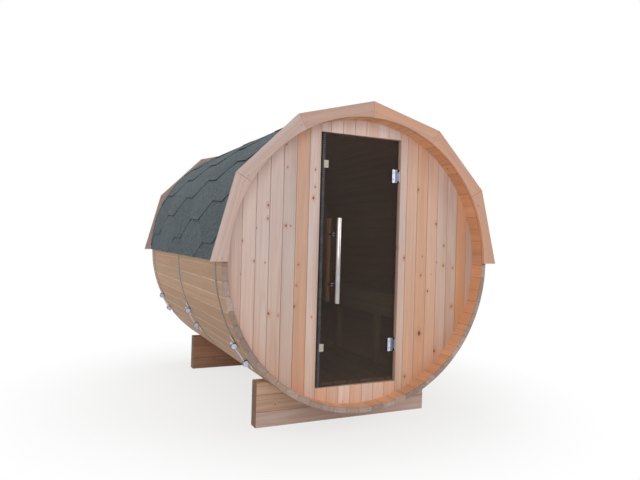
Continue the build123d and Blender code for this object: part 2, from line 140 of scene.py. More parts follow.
def arc_points(centre_a, centre_b, radius, start, end, steps):
    """Points round a centre between two angles in degrees."""
    turns = [radians(angle) for angle in spaced(start, end, steps)]
    return [(centre_a + radius * cos(turn), centre_b + radius * sin(turn)) for turn in turns]


def inset(outline, distance):
    """An outline moved inwards corner by corner; it runs counter-clockwise."""
    moved = []
    for index, corner in enumerate(outline):
        before = Vector(outline[index - 1])
        here = Vector(corner)
        after = Vector(outline[(index + 1) % len(outline)])
        first = (here - before).normalized()
        second = (after - here).normalized()
        normals = Vector((-first.y, first.x)), Vector((-second.y, second.x))
        share = max(1 + normals[0].dot(normals[1]), 0.3)
        moved.append(here + (normals[0] + normals[1]) * (distance / share))
    return moved


def upright(outline, y):
    """An outline of (x, z) points as a ring across the barrel."""
    return [(point[0], y, point[1]) for point in outline]


def level(outline, z):
    """An outline of (x, y) points as a ring at one height."""
    return [(point[0], point[1], z) for point in outline]


def slab_rings(outline, start, end, arris, lay):
    """Rings of a slab with softened edges on both faces."""
    soft = inset(outline, arris)
    step = arris if end > start else -arris
    return [lay(soft, start), lay(outline, start + step), lay(outline, end - step), lay(soft, end)]


def rectangle(low_a, high_a, low_b, high_b):
    return [(low_a, low_b), (high_a, low_b), (high_a, high_b), (low_a, high_b)]


def rounded(low_a, high_a, low_b, high_b, radius, steps=4):
    """A rectangle with round corners, counter-clockwise."""
    outline = []
    inner = rectangle(low_a + radius, high_a - radius, low_b + radius, high_b - radius)
    for (centre_a, centre_b), start in zip(inner[1:] + inner[:1], (-90, 0, 90, 180)):
        outline += arc_points(centre_a, centre_b, radius, start, start + 90, steps)
    return outline


def circle(centre_a, centre_b, radius, sides=32):
    return arc_points(centre_a, centre_b, radius, 0, 360, sides)[:-1]


# Mesh building

def placed(name, data):
    """A new object in the scene."""
    made = bpy.data.objects.new(name, data)
    bpy.context.scene.collection.objects.link(made)
    return made


def clean(mesh, weld=0.0):
    """Turn a mesh's faces outwards and shade it smooth up to the sharp angle, after joining near points."""
    sheet = bmesh.new()
    sheet.from_mesh(mesh)
    if weld:
        bmesh.ops.remove_doubles(sheet, verts=sheet.verts, dist=weld)
    bmesh.ops.recalc_face_normals(sheet, faces=sheet.faces)
    sheet.to_mesh(mesh)
    sheet.free()
    mesh.polygons.foreach_set("use_smooth", [True] * len(mesh.polygons))
    mesh.set_sharp_from_angle(angle=SHARP_ANGLE)
    mesh.update()


class Piece:
    """Closed forms gathered into one mesh. Every point keeps the lie of the grain and its board's mood."""

    def __init__(self):
        self.points = []
        self.faces = []
        self.slots = []
        self.grain = []
        self.mood = []
        self.knots = [[] for index in range(KNOT_COUNT)]
        self.board(Y_AXIS, X_AXIS)

    def board(self, along, across, hues=(0.0, 1.0), reach=0.9, width=0.08, knots=(),
              chance=KNOT_CHANCE):
        """Start a new board whose fibres run along one direction.

        reach is how far from its middle small knots may lie, chance how likely each one is, and
        knots gives the places of larger ones as a point and a radius.
        """
        self.along = along.normalized()
        self.across = (across - self.along * across.dot(self.along)).normalized()
        self.depth = self.along.cross(self.across)
        self.shift = Vector((draw.uniform(-9, 9), draw.uniform(-0.05, 0.05), draw.uniform(0.03, 0.11)))
        self.centre = None
        self.feel = (draw.uniform(-1.0, 1.0), draw.uniform(*hues), 0.0)
        self.given = knots
        self.spots = []
        for index in range(KNOT_COUNT):
            place = Vector((draw.uniform(-reach, reach), draw.uniform(-0.5, 0.5) * width, 0.0))
            size = draw.uniform(*KNOT_RADII) * MM if draw.random() < chance else 0.0
            self.spots.append((place, size))

    def lie(self, place):
        """How far a place lies along, across and into its board from the board's centre."""
        offset = place - self.centre
        return Vector((offset.dot(self.along), offset.dot(self.across), offset.dot(self.depth)))

    def settle(self, ring):
        """Take the first ring's middle as the board's centre, and put the given knots in their places."""
        self.centre = sum((Vector(point) for point in ring), Vector((0, 0, 0))) / len(ring)
        self.spots[:len(self.given)] = [(self.lie(place), size) for place, size in self.given]

    def add_points(self, rings):
        spots = []
        for place, size in self.spots:
            spot = place + self.shift
            spots.append((spot.x, spot.y, size) if size else (spot.x + NO_KNOT, spot.y, MM))
        for ring in rings:
            for point in ring:
                place = Vector(point)
                self.points.append(place)
                self.grain.append(self.lie(place) + self.shift)
                self.mood.append(self.feel)
                for knot, spot in zip(self.knots, spots):
                    knot.append(spot)

    def facing_slot(self, face, slot, end_slot, inner_slot, painted_highlight_slot):
        """The slot that a face takes from the way it looks."""
        corners = [self.points[index] for index in face]
        normal = (corners[2] - corners[0]).cross(corners[-1] - corners[1])
        if normal.length > 0:
            normal.normalize()
        if end_slot is not None and abs(normal.dot(self.along)) > END_FACING:
            return end_slot
        if inner_slot is None:
            return slot
        middle = sum(corners, Vector((0, 0, 0))) / len(corners)
        outward = Vector((middle.x, 0, middle.z - axis_z))
        facing = abs(normal.dot(outward / outward.length))
        if facing > ROUND_FACING and outward.length < stave_flat - 20 * MM:
            return inner_slot
        # Painted highlight: slanted bevels outside take the paler wood for the light they catch
        slanted = EDGE_FACING < facing < ROUND_FACING
        if painted_highlight_slot is not None and slanted and outward.length > stave_flat - 5 * MM:
            return painted_highlight_slot
        return slot

    def loft(self, rings, closed=False, slot=0, end_slot=None, inner_slot=None, painted_highlight_slot=None):
        """Skin rings of equal length.

        Faces across the fibres take end_slot, those that face the barrel's axis inner_slot, and
        the slanted bevels outside painted_highlight_slot, a paler wood painted on as the light they catch.
        """
        base = len(self.points)
        count = len(rings[0])
        if self.centre is None:
            self.settle(rings[0])
        self.add_points(rings)
        faces = []
        for step in range(len(rings) if closed else len(rings) - 1):
            here = base + step * count
            there = base + (step + 1) % len(rings) * count
            for index in range(count):
                after = (index + 1) % count
                faces.append((here + index, here + after, there + after, there + index))
        if not closed:
            faces.append(tuple(base + index for index in reversed(range(count))))
            last = base + (len(rings) - 1) * count
            faces.append(tuple(last + index for index in range(count)))
        for face in faces:
            self.faces.append(face)
            self.slots.append(self.facing_slot(face, slot, end_slot, inner_slot, painted_highlight_slot))

    def slab(self, outline, start, end, arris, lay=upright, **slots):
        """A slab with softened edges from start to end."""
        self.loft(slab_rings(outline, start, end, arris, lay), **slots)

    def make(self, name, body, materials, replaced=(), slot=None):
        """The finished object, riding on its body in place of the solids that it stands for."""
        points = self.points
        if body == "door":
            points = [turned(point, DOOR_OPEN) for point in points]
        mesh = bpy.data.meshes.new(name)
        mesh.from_pydata(points, [], self.faces)
        for material in materials:
            mesh.materials.append(material)
        mesh.polygons.foreach_set("material_index", self.slots)
        rows = {"grain": self.grain, "mood": self.mood}
        for index, knot in enumerate(self.knots):
            rows["knot_%d" % index] = knot
        for key, vectors in rows.items():
            attribute = mesh.attributes.new(key, "FLOAT_VECTOR", "POINT")
            attribute.data.foreach_set("vector", [value for vector in vectors for value in vector])
        clean(mesh)
        made = placed(name, mesh)
        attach(made, body)
        if replaced:
            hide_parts(*replaced)
        return made


# Materials

def paint(colour):
    """A screen colour of three values up to 255 as a linear one. Anything else stays as it is."""
    if not isinstance(colour, tuple) or len(colour) != 3:
        return colour
    shares = [value / 255 for value in colour]
    linear = [share / 12.92 if share <= 0.04045 else ((share + 0.055) / 1.055) ** 2.4 for share in shares]
    return (*linear, 1.0)


class Tree:
    """The nodes of a material or world, made by short calls that link sockets or set values."""

    def __init__(self, name, kind="materials"):
        self.owner = getattr(bpy.data, kind).new(name)
        self.owner.use_nodes = True
        self.nodes = self.owner.node_tree.nodes
        self.links = self.owner.node_tree.links
        self.nodes.clear()

    def node(self, kind, inputs, **settings):
        made = self.nodes.new(kind)
        for key, value in settings.items():
            setattr(made, key, value)
        for key, value in inputs.items():
            if isinstance(value, bpy.types.NodeSocket):
                self.links.new(value, made.inputs[key])
            else:
                made.inputs[key].default_value = value
        return made

    def math(self, operation, first, second=0.0, third=0.0):
        inputs = {0: first, 1: second, 2: third}
        return self.node("ShaderNodeMath", inputs, operation=operation).outputs[0]

    def plus(self, first, second):
        return self.math("ADD", first, second)

    def times(self, first, second):
        return self.math("MULTIPLY", first, second)

    def blend(self, value, share, rest):
        """value times share, added to the rest."""
        return self.math("MULTIPLY_ADD", value, share, rest)

    def vector(self, operation, first, second=(0, 0, 0)):
        made = self.node("ShaderNodeVectorMath", {0: first, 1: second}, operation=operation)
        return made.outputs[1 if operation == "LENGTH" else 0]

    def mix(self, factor, first, second, blend="MIX"):
        inputs = {0: factor, 6: paint(first), 7: paint(second)}
        made = self.node("ShaderNodeMix", inputs, data_type="RGBA", blend_type=blend, clamp_factor=True)
        return made.outputs[2]

    def toned(self, colour, tone, reach):
        """A colour made lighter or darker by a board's own tone."""
        bright = self.blend(tone, reach, 1.0)
        return self.mix(1.0, colour, self.join(bright, bright, bright), "MULTIPLY")

    def noise(self, vector, scale, detail=2.0, roughness=0.5):
        inputs = {"Vector": vector, "Scale": scale, "Detail": detail, "Roughness": roughness}
        return self.node("ShaderNodeTexNoise", inputs).outputs[0]

    def drawn(self, vector, stretch, detail=2.0, roughness=0.5):
        """Noise with a scale of its own in each direction."""
        return self.noise(self.vector("MULTIPLY", vector, stretch), 1.0, detail, roughness)

    def span(self, value, low, high, to_low=0.0, to_high=1.0, smooth=False):
        """value taken from one range to another, and kept inside it."""
        kind = "SMOOTHSTEP" if smooth else "LINEAR"
        inputs = {0: value, 1: low, 2: high, 3: to_low, 4: to_high}
        return self.node("ShaderNodeMapRange", inputs, interpolation_type=kind).outputs[0]

    def attribute(self, name):
        return self.node("ShaderNodeAttribute", {}, attribute_name=name).outputs["Vector"]

    def split(self, vector):
        return self.node("ShaderNodeSeparateXYZ", {0: vector}).outputs[:3]

    def join(self, x, y, z):
        return self.node("ShaderNodeCombineXYZ", {0: x, 1: y, 2: z}).outputs[0]

    def object_place(self):
        return self.node("ShaderNodeTexCoord", {}).outputs["Object"]

    def bump(self, height, strength, distance):
        inputs = {"Height": height, "Strength": strength, "Distance": distance}
        return self.node("ShaderNodeBump", inputs).outputs[0]

    def plain_rays(self):
        """1 for rays that come from the camera, off something glossy or through glass, and else 0."""
        rays = self.node("ShaderNodeLightPath", {}).outputs
        seen = self.math("MAXIMUM", rays["Is Camera Ray"], rays["Is Glossy Ray"])
        return self.math("MAXIMUM", seen, rays["Is Transmission Ray"])

    def finish(self, colour, roughness, normal=None, **plain):
        inputs = {"Base Color": colour, "Roughness": roughness}
        if normal is not None:
            inputs["Normal"] = normal
        for key, value in plain.items():
            inputs[key.replace("_", " ").title().replace("Ior", "IOR")] = value
        shader = self.node("ShaderNodeBsdfPrincipled", inputs)
        self.node("ShaderNodeOutputMaterial", {"Surface": shader.outputs[0]})
        return self.owner


# What the reddest boards keep of each colour, at a hue of 1.5
RICHNESS = (0.93, 0.80, 0.62, 1.0)
WHITE = (1.0, 1.0, 1.0, 1.0)
HALO_BROWN = (170, 102, 68)
KNOT_BROWN = (74, 40, 28)
WOOD_TONE = 0.10


def growth_rings(tree, pith, width, sharpness):
    """Share of late wood in rings round the pith."""
    rings = tree.math("SINE", tree.times(pith, 2 * pi / width))
    return tree.math("POWER", tree.blend(rings, 0.5, 0.5), sharpness)


def knots_and_halos(tree, grain, along, across):
    """How much of a knot, and of the darker wood round it, there is at a point."""
    ragged = tree.times(tree.math("SUBTRACT", tree.noise(grain, 140.0), 0.5), 0.9)
    knot = 0.0
    halo = 0.0
    for index in range(KNOT_COUNT):
        spot_along, spot_across, size = tree.split(tree.attribute("knot_%d" % index))
        away = tree.join(
            tree.times(tree.math("SUBTRACT", along, spot_along), 0.7),
            tree.math("SUBTRACT", across, spot_across),
            0.0,
        )
        near = tree.plus(tree.math("DIVIDE", tree.vector("LENGTH", away), size), ragged)
        knot = tree.math("MAXIMUM", tree.span(near, 0.8, 1.25, 1.0, 0.0, True), knot)
        halo = tree.math("MAXIMUM", tree.span(near, 1.0, 5.0, 1.0, 0.0, True), halo)
    return knot, halo


def wood(name, pale, deep, warm, contrast=1.0, low_painted_light=WHITE, rough=0.62):
    """Planed softwood: rings round a pith, fibres, streaks and knots, a tone and hue per board, and painted
    bounce light that tints it towards the floor.
    """
    tree = Tree(name)
    grain = tree.attribute("grain")
    tone, board_hue = tree.split(tree.attribute("mood"))[:2]
    along, across, depth = tree.split(grain)
    knot, halo = knots_and_halos(tree, grain, along, across)

    pith = tree.vector("LENGTH", tree.join(0.0, across, depth))
    pith = tree.blend(tree.drawn(grain, (1.1, 7.0, 7.0)), 0.030, pith)
    pith = tree.blend(halo, 0.007, pith)
    late = growth_rings(tree, pith, 7.5 * MM, 2.5)
    fibres = tree.drawn(grain, (9.0, 420.0, 420.0), 2.0, 0.6)
    blotch = tree.drawn(grain, (1.7, 16.0, 16.0), 3.0, 0.55)
    streak = tree.drawn(grain, (0.5, 34.0, 34.0))

    share = tree.times(late, 0.30 * contrast)
    share = tree.blend(tree.span(fibres, 0.3, 0.7), 0.18 * contrast, share)
    share = tree.blend(tree.span(blotch, 0.3, 0.7), 0.36 * contrast, share)
    share = tree.blend(tree.span(streak, 0.35, 0.65), 0.34 * contrast, share)
    colour = tree.mix(share, pale, deep)
    hue = tree.plus(board_hue, tree.span(streak, 0.4, 0.7, 0.0, 0.22))
    hue = tree.plus(hue, tree.times(halo, 0.35))
    colour = tree.mix(tree.span(hue, 0.15, 1.0, 0.0, 0.95), colour, tree.mix(share, warm, deep))
    colour = tree.mix(tree.span(board_hue, 1.0, 1.5), colour, RICHNESS, "MULTIPLY")
    colour = tree.mix(tree.times(halo, 0.24), colour, HALO_BROWN)
    colour = tree.mix(tree.times(knot, 0.84), colour, KNOT_BROWN)
    colour = tree.toned(colour, tone, WOOD_TONE)
    # Painted light: below 1.25 m the colour is multiplied towards low_painted_light, fully below 0.45 m,
    # for light bounced up from the ground
    height = tree.split(tree.object_place())[2]
    painted_light_tint = tree.mix(tree.span(height, 0.45, 1.25), low_painted_light, WHITE)
    colour = tree.mix(1.0, colour, painted_light_tint, "MULTIPLY")
    relief = tree.blend(late, -0.5, tree.times(fibres, 0.7))
    roughness = tree.span(fibres, 0.2, 0.8, rough - 0.07, rough + 0.08)
    return tree.finish(colour, roughness, tree.bump(relief, 0.22, 0.0006))


def end_grain(name, pale, deep, warm, reach=0.12):
    """Sawn ends: rings across the board with fine pores, and a tone per board."""
    tree = Tree(name)
    grain = tree.attribute("grain")
    tone, board_hue = tree.split(tree.attribute("mood"))[:2]
    across, depth = tree.split(grain)[1:]
    pith = tree.vector("LENGTH", tree.join(0.0, across, depth))
    pith = tree.blend(tree.noise(grain, 18.0), 0.006, pith)
    late = growth_rings(tree, pith, 4.5 * MM, 2.0)
    pores = tree.noise(grain, 900.0, 2.0, 0.7)
    blotch = tree.noise(grain, 45.0, 3.0)
    share = tree.blend(late, 0.40, tree.times(pores, 0.30))
    share = tree.blend(tree.span(blotch, 0.3, 0.7), 0.35, share)
    colour = tree.mix(share, pale, deep)
    colour = tree.mix(tree.span(board_hue, 0.4, 1.0, 0.0, 0.8), colour, tree.mix(share, warm, deep))
    colour = tree.toned(colour, tone, reach)
    normal = tree.bump(tree.blend(late, 0.6, pores), 0.25, 0.0005)
    return tree.finish(colour, tree.span(pores, 0.2, 0.8, 0.74, 0.88), normal)


def shingle_face():
    """Grey-green mineral granules on bitumen."""
    tree = Tree("shingle_granules")
    place = tree.object_place()
    tone = tree.split(tree.attribute("mood"))[0]
    grit = tree.node("ShaderNodeTexVoronoi", {"Vector": place, "Scale": 420.0})
    grit_tone = tree.split(grit.outputs["Color"])[0]
    patches = tree.noise(place, 26.0, 4.0, 0.7)
    clouds = tree.noise(place, 5.0)
    speckle = tree.noise(place, 62.0, 4.0, 0.85)
    share = tree.blend(grit_tone, 0.30, tree.times(speckle, 0.75))
    colour = tree.mix(tree.span(share, 0.40, 0.66), (22, 31, 33), (112, 124, 130))
    colour = tree.mix(tree.span(grit_tone, 0.90, 0.96), colour, (150, 158, 160))
    colour = tree.mix(tree.span(patches, 0.38, 0.66, 0.0, 0.35), colour, (50, 61, 62))
    colour = tree.mix(tree.span(clouds, 0.3, 0.7, 0.0, 0.20), colour, (92, 104, 112))
    colour = tree.toned(colour, tone, 0.08)
    normal = tree.bump(tree.plus(grit.outputs["Distance"], speckle), 0.55, 0.0012)
    return tree.finish(colour, tree.span(grit_tone, 0.0, 1.0, 0.82, 0.96), normal, specular_ior_level=0.25)


def shingle_cut():
    """Cut edge of the shingles: bare bitumen and felt, near black; on the slanted lip it is also painted
    shadow under each course's edge.
    """
    tree = Tree("shingle_cut_edge")
    fleck = tree.noise(tree.object_place(), 500.0)
    colour = tree.mix(tree.span(fleck, 0.3, 0.7), (14, 18, 18), (34, 38, 38))
    roughness = tree.span(fleck, 0.2, 0.8, 0.8, 0.95)
    return tree.finish(colour, roughness, tree.bump(fleck, 0.3, 0.0006), specular_ior_level=0.1)


def metal(name, base, dark, rough, metallic=1.0, stretch=(1, 1, 1), scale=120.0):
    """Metal with fine marks drawn out along one direction."""
    tree = Tree(name)
    place = tree.object_place()
    marks = tree.noise(tree.vector("MULTIPLY", place, stretch), scale, 3.0, 0.6)
    cloud = tree.noise(place, 14.0)
    colour = tree.mix(tree.span(marks, 0.3, 0.7, 0.0, 0.5), base, dark)
    colour = tree.mix(tree.span(cloud, 0.35, 0.75, 0.0, 0.3), colour, dark)
    roughness = tree.span(marks, 0.25, 0.75, rough * 0.8, rough * 1.3)
    return tree.finish(colour, roughness, tree.bump(marks, 0.05, 0.0004), metallic=metallic)


def smoked_glass():
    """Bronze-grey toughened glass that lets a little of the room through."""
    tree = Tree("smoked_glass")
    film = tree.noise(tree.object_place(), 2.2)
    colour = tree.mix(tree.span(film, 0.3, 0.7), (49, 42, 37), (57, 50, 44))
    shine = tree.span(film, 0.2, 0.8, 0.03, 0.06)
    return tree.finish(colour, shine, alpha=0.42, ior=1.5, specular_ior_level=0.2)


def seal_strip():
    """Grey seal with light and dark level rows, painted light and shade standing for lit and shaded ribs.
    """
    tree = Tree("seal_strip")
    place = tree.object_place()
    # Painted light and shade: a sine of height gives light and dark level rows 13 mm apart for the lit and
    # shaded sides of ribs
    rows = tree.math("SINE", tree.times(tree.split(place)[2], 2 * pi / 0.013))
    cloud = tree.noise(place, 30.0, 3.0)
    share = tree.blend(rows, 0.5, tree.span(cloud, 0.3, 0.7, 0.2, 0.6))
    colour = tree.mix(share, (26, 25, 27), (104, 106, 112))
    return tree.finish(colour, tree.span(cloud, 0.2, 0.8, 0.4, 0.55), specular_ior_level=0.3)


def plastic(name, base, dark, rough):
    tree = Tree(name)
    cloud = tree.noise(tree.object_place(), 60.0, 3.0)
    colour = tree.mix(tree.span(cloud, 0.3, 0.7), base, dark)
    return tree.finish(colour, tree.span(cloud, 0.2, 0.8, rough, rough + 0.1))


# Painted light: how much of red, green and blue the lower half of these boards keeps, towards the floor,
# standing for light bounced up from the ground, paler under the overhang and warmer on the walls
OVERHANG_PAINTED_LIGHT = (1.08, 1.15, 1.22, 1.0)
WALL_PAINTED_BOUNCE_LIGHT = (1.03, 0.94, 0.84, 1.0)

STAVE_SIDE = wood("stave_side", (184, 146, 113), (150, 112, 82), (182, 136, 98), 0.65)
# Painted highlight: a much paler copy of the stave wood for the outer bevels, for the light they catch
STAVE_EDGE_PAINTED_HIGHLIGHT = wood("stave_edge_painted_highlight", (226, 200, 172), (196, 164, 134), (220, 186, 152))
STAVE_END = end_grain("stave_end", (182, 160, 150), (130, 108, 98), (166, 134, 114), 0.27)
STAVE_END_WARM = end_grain("stave_end_warm", (192, 140, 104), (146, 100, 72), (188, 130, 92))
STAVE_INNER = wood(
    "stave_inner", (232, 174, 134), (200, 142, 104), (228, 164, 120), 0.8, OVERHANG_PAINTED_LIGHT)
WALL = wood("wall_boards", (204, 189, 184), (178, 147, 134), (212, 166, 136), 0.72, WALL_PAINTED_BOUNCE_LIGHT)
# Painted light: the wall's wood made about a tenth paler for the boards over and under the doorway, to lift
# the shade that falls there
DOOR_BOARDS_PAINTED_LIGHT = wood(
    "boards_at_the_door_painted_light", (222, 205, 199), (196, 162, 148), (232, 184, 152), 0.72, WALL_PAINTED_BOUNCE_LIGHT)
WALL_END = end_grain("wall_ends", (196, 166, 148), (150, 118, 98), (190, 150, 124))
FASCIA = wood("fascia_boards", (188, 170, 164), (168, 136, 124), (204, 150, 118), 0.7)
FASCIA_END = end_grain("fascia_ends", (216, 188, 164), (180, 146, 122), (206, 164, 134))
CRADLE = wood("cradle_boards", (204, 182, 174), (176, 142, 122), (232, 194, 156))
CRADLE_END = end_grain("cradle_ends", (150, 122, 102), (104, 80, 64), (142, 108, 84))
REAR_CRADLE = wood("rear_cradle_boards", (180, 138, 112), (136, 98, 76), (176, 126, 96))
INSIDE = wood("inside_boards", (214, 184, 150), (176, 138, 102), (208, 170, 130))
INSIDE_END = end_grain("inside_ends", (200, 168, 134), (156, 120, 88), (190, 150, 112))
HANDLE_WOOD = wood("handle_wood", (250, 184, 146), (214, 146, 112), (246, 176, 136), rough=0.45)
SHINGLE = shingle_face()
SHINGLE_CUT = shingle_cut()
BAND = metal("band_steel", (112, 114, 112), (70, 70, 66), 0.42, stretch=(1, 6, 1))
ZINC = metal("zinc_steel", (218, 226, 246), (186, 194, 218), 0.4, 0.3)
NAIL = metal("nail_heads", (96, 82, 72), (62, 50, 44), 0.5)
CHROME = metal("chrome_hinge", (206, 212, 228), (160, 166, 184), 0.22)
SATIN = metal("satin_hinge", (132, 132, 140), (92, 92, 100), 0.35)
STEEL_BAR = metal("handle_steel", (192, 188, 188), (130, 126, 126), 0.2, 1.0, (1, 1, 0.03), 900.0)
CATCH = metal("catch_steel", (184, 174, 160), (146, 136, 124), 0.3)
GLASS = smoked_glass()
SEAL = seal_strip()
CATCH_BLACK = plastic("catch_black", (34, 33, 32), (20, 20, 20), 0.4)


# Barrel of staves

def arc_degrees(length, radius):
    """The angle that a short length takes up at a radius."""
    return degrees(length / radius)


def joint_line(seam, inner, side):
    """One side of a joint between staves, from inside to outside, rounded as a bead that points up.

    side is -1 for the stave below the joint's angle and 1 for the stave above it.
    """
    upward = 1 if cos(radians(seam)) > 0 else -1
    gap = arc_degrees(STAVE_GAP / 2, barrel_radius)
    middle = (inner + barrel_radius) / 2
    half = (barrel_radius - inner) / 2 - BEAD_MARGIN
    line = []
    for share in spaced(-1.0, 1.0, 6):
        radius = middle + half * share
        swell = arc_degrees(STAVE_BEAD * (1 - share ** 2), radius)
        line.append(polar(radius, seam + side * gap + upward * swell))
    return line


def stave_outline(seam, next_seam, inner):
    """Cross-section of one stave: a bead and a cove at its sides, softened edges outside and inside."""
    trim = arc_degrees(STAVE_GAP / 2, barrel_radius)
    soft = arc_degrees(STAVE_BEVEL, barrel_radius)
    soft_inside = arc_degrees(STAVE_ARRIS, inner_corner)
    low = seam + trim
    high = next_seam - trim
    outline = [polar(inner, low + soft_inside), polar(inner + STAVE_ARRIS, low)]
    outline += joint_line(seam, inner, 1)
    outline += [
        polar(barrel_radius - STAVE_BEVEL, low),
        polar(barrel_radius, low + soft),
        polar(barrel_radius, high - soft),
        polar(barrel_radius - STAVE_BEVEL, high),
    ]
    outline += reversed(joint_line(next_seam, inner, -1))
    outline += [polar(inner + STAVE_ARRIS, high), polar(inner, high - soft_inside)]
    return outline


def stave_rings(seam):
    """Rings of one stave from end to end, with the grooves that seat both walls."""
    plain = stave_outline(seam, seam + STAVE_PITCH, inner_corner)
    seat = stave_outline(seam, seam + STAVE_PITCH, wall_corner)
    soft = inset(plain, END_ARRIS)
    rings = [upright(soft, front_end), upright(plain, front_end + END_ARRIS)]
    for start, end in ((wall_face, wall_back), (back_wall_low.y, back_wall_high.y)):
        rings += [upright(plain, start), upright(seat, start), upright(seat, end), upright(plain, end)]
    return rings + [upright(plain, rear_end - END_ARRIS), upright(soft, rear_end)]


def make_staves():
    # Slot 4 is the painted highlight wood for the outer bevels
    woods = [STAVE_SIDE, STAVE_END, STAVE_INNER, STAVE_END_WARM, STAVE_EDGE_PAINTED_HIGHLIGHT]
    for panel in range(STAVE_PANELS):
        piece = Piece()
        first = panel * STAVE_COUNT // STAVE_PANELS
        last = (panel + 1) * STAVE_COUNT // STAVE_PANELS
        for index in range(first, last):
            seam = FIRST_SEAM + index * STAVE_PITCH
            middle = radians(seam + STAVE_PITCH / 2)
            across = Vector((-sin(middle), 0, cos(middle)))
            piece.board(Y_AXIS, across, reach=1.2)
            end_slot = 3 if sin(middle) > 0.05 else 1
            piece.loft(stave_rings(seam), end_slot=end_slot, inner_slot=2, painted_highlight_slot=4)
        node = "staves_%02d" % (panel + 1)
        piece.make(node + "_boards", "sauna", woods, [node], "stave_wood")


# End walls

# Larger knots of the front wall: x and height in metres, radius in millimetres
FRONT_KNOTS = (
    (-0.81, 1.19, 5.0), (-0.73, 1.07, 4.0), (-0.72, 1.27, 2.5), (-0.66, 1.06, 2.5),
    (-0.65, 1.41, 5.0), (-0.65, 1.33, 4.0), (-0.64, 1.52, 3.0), (-0.66, 0.89, 4.0),
    (-0.63, 0.75, 6.0), (-0.53, 1.29, 5.0), (-0.50, 1.29, 3.0), (-0.53, 1.65, 3.0),
    (-0.54, 1.79, 3.0), (-0.52, 0.88, 3.5), (-0.49, 1.51, 2.5), (-0.48, 1.74, 3.0),
    (-0.44, 1.05, 4.0), (-0.45, 0.92, 3.5), (-0.46, 0.79, 5.0), (-0.34, 1.65, 4.0),
    (-0.34, 1.54, 4.0), (-0.35, 1.47, 6.5), (-0.34, 0.72, 3.0), (-0.33, 0.46, 6.5),
    (-0.36, 0.27, 4.5), (0.34, 1.10, 5.5), (0.37, 0.29, 5.0), (0.44, 1.57, 5.0),
    (0.48, 0.98, 4.5), (0.49, 1.11, 3.0), (0.48, 0.58, 11.0), (0.51, 1.32, 6.0),
    (0.60, 1.34, 6.0), (0.54, 0.87, 5.0), (0.61, 0.45, 7.0), (0.67, 1.19, 4.0),
    (0.67, 1.05, 4.5), (0.75, 0.76, 5.0),
)

# Redder boards of the front wall: x in metres and hue
RICH_BOARDS = ((0.83, 1.45), (0.48, 1.15), (-0.42, 0.95))

# Hues that the other boards are drawn from: pinkish on the left and tan on the right, partly the boards'
# own tone and partly painted light, cooler from the left and warmer from the right
PINKISH = (0.0, 0.75)
TAN = (0.35, 1.0)
MIXED = (0.0, 1.0)

# How far a first seam lies from the doorway's side, for each part of the front wall
LEFT_SEAM = -77 * MM
RIGHT_SEAM = 55.5 * MM
TOP_SEAM = 68 * MM
SILL_SEAM = 81 * MM


def wall_seams(first, low, high):
    """Board edges between the two sides of a wall, on the pitch that a first seam gives."""
    count = ceil((high - low) / BOARD_WIDTH)
    places = [first + index * BOARD_WIDTH for index in range(-count, count + 1)]
    return [low] + [place for place in places if low + 4 * MM < place < high - 4 * MM] + [high]


def board_outline(left, right, bottom, top):
    """Outline of one upright board; bottom or top of None follows the barrel."""
    arc = [(x, sqrt(max(wall_corner ** 2 - x ** 2, 0.0))) for x in spaced(left, right, 6)]
    outline = [(left, bottom), (right, bottom)]
    if bottom is None:
        outline = [(x, axis_z - height) for x, height in arc]
    if top is None:
        outline += [(x, axis_z + height) for x, height in reversed(arc)]
    else:
        outline += [(right, top), (left, top)]
    kept = []
    for point in outline:
        if not kept or (Vector(point) - Vector(kept[-1])).length > 0.5 * MM:
            kept.append(point)
    return kept


def wall_board(piece, outline, faces, hues, knots):
    """One board of a wall, with a slit beside its tongue on both faces."""
    piece.board(Z_AXIS, X_AXIS, hues, knots=knots)
    if len(outline) < 3:
        return
    tongue = inset(outline, TONGUE_GAP)
    face = inset(outline, BOARD_SLIT)
    soft = inset(outline, BOARD_SLIT + BOARD_ARRIS)
    layers = ((soft, 0.0), (face, BOARD_ARRIS), (face, BOARD_SLIT_DEPTH), (tongue, BOARD_SLIT_DEPTH))
    rings = [upright(shape, faces[0] + depth) for shape, depth in layers]
    rings += [upright(shape, faces[1] - depth) for shape, depth in reversed(layers)]
    piece.loft(rings, end_slot=1)


def make_wall(node, seams, faces, hues, material, knots=(), rich=(), bottom=None, top=None):
    """All boards of one wall node."""
    piece = Piece()
    lowest = -inf if bottom is None else bottom
    highest = inf if top is None else top
    for left, right in zip(seams, seams[1:]):
        given = [
            (Vector((x, faces[0], z)), radius * MM) for x, z, radius in knots
            if left < x < right and lowest < z < highest
        ]
        own_hues = [(hue, hue) for x, hue in rich if left < x < right] + [hues]
        outline = board_outline(left, right, bottom, top)
        wall_board(piece, outline, faces, own_hues[0], given[:KNOT_COUNT])
    piece.make(node + "_boards", "sauna", [material, WALL_END], [node], "wall_wood")


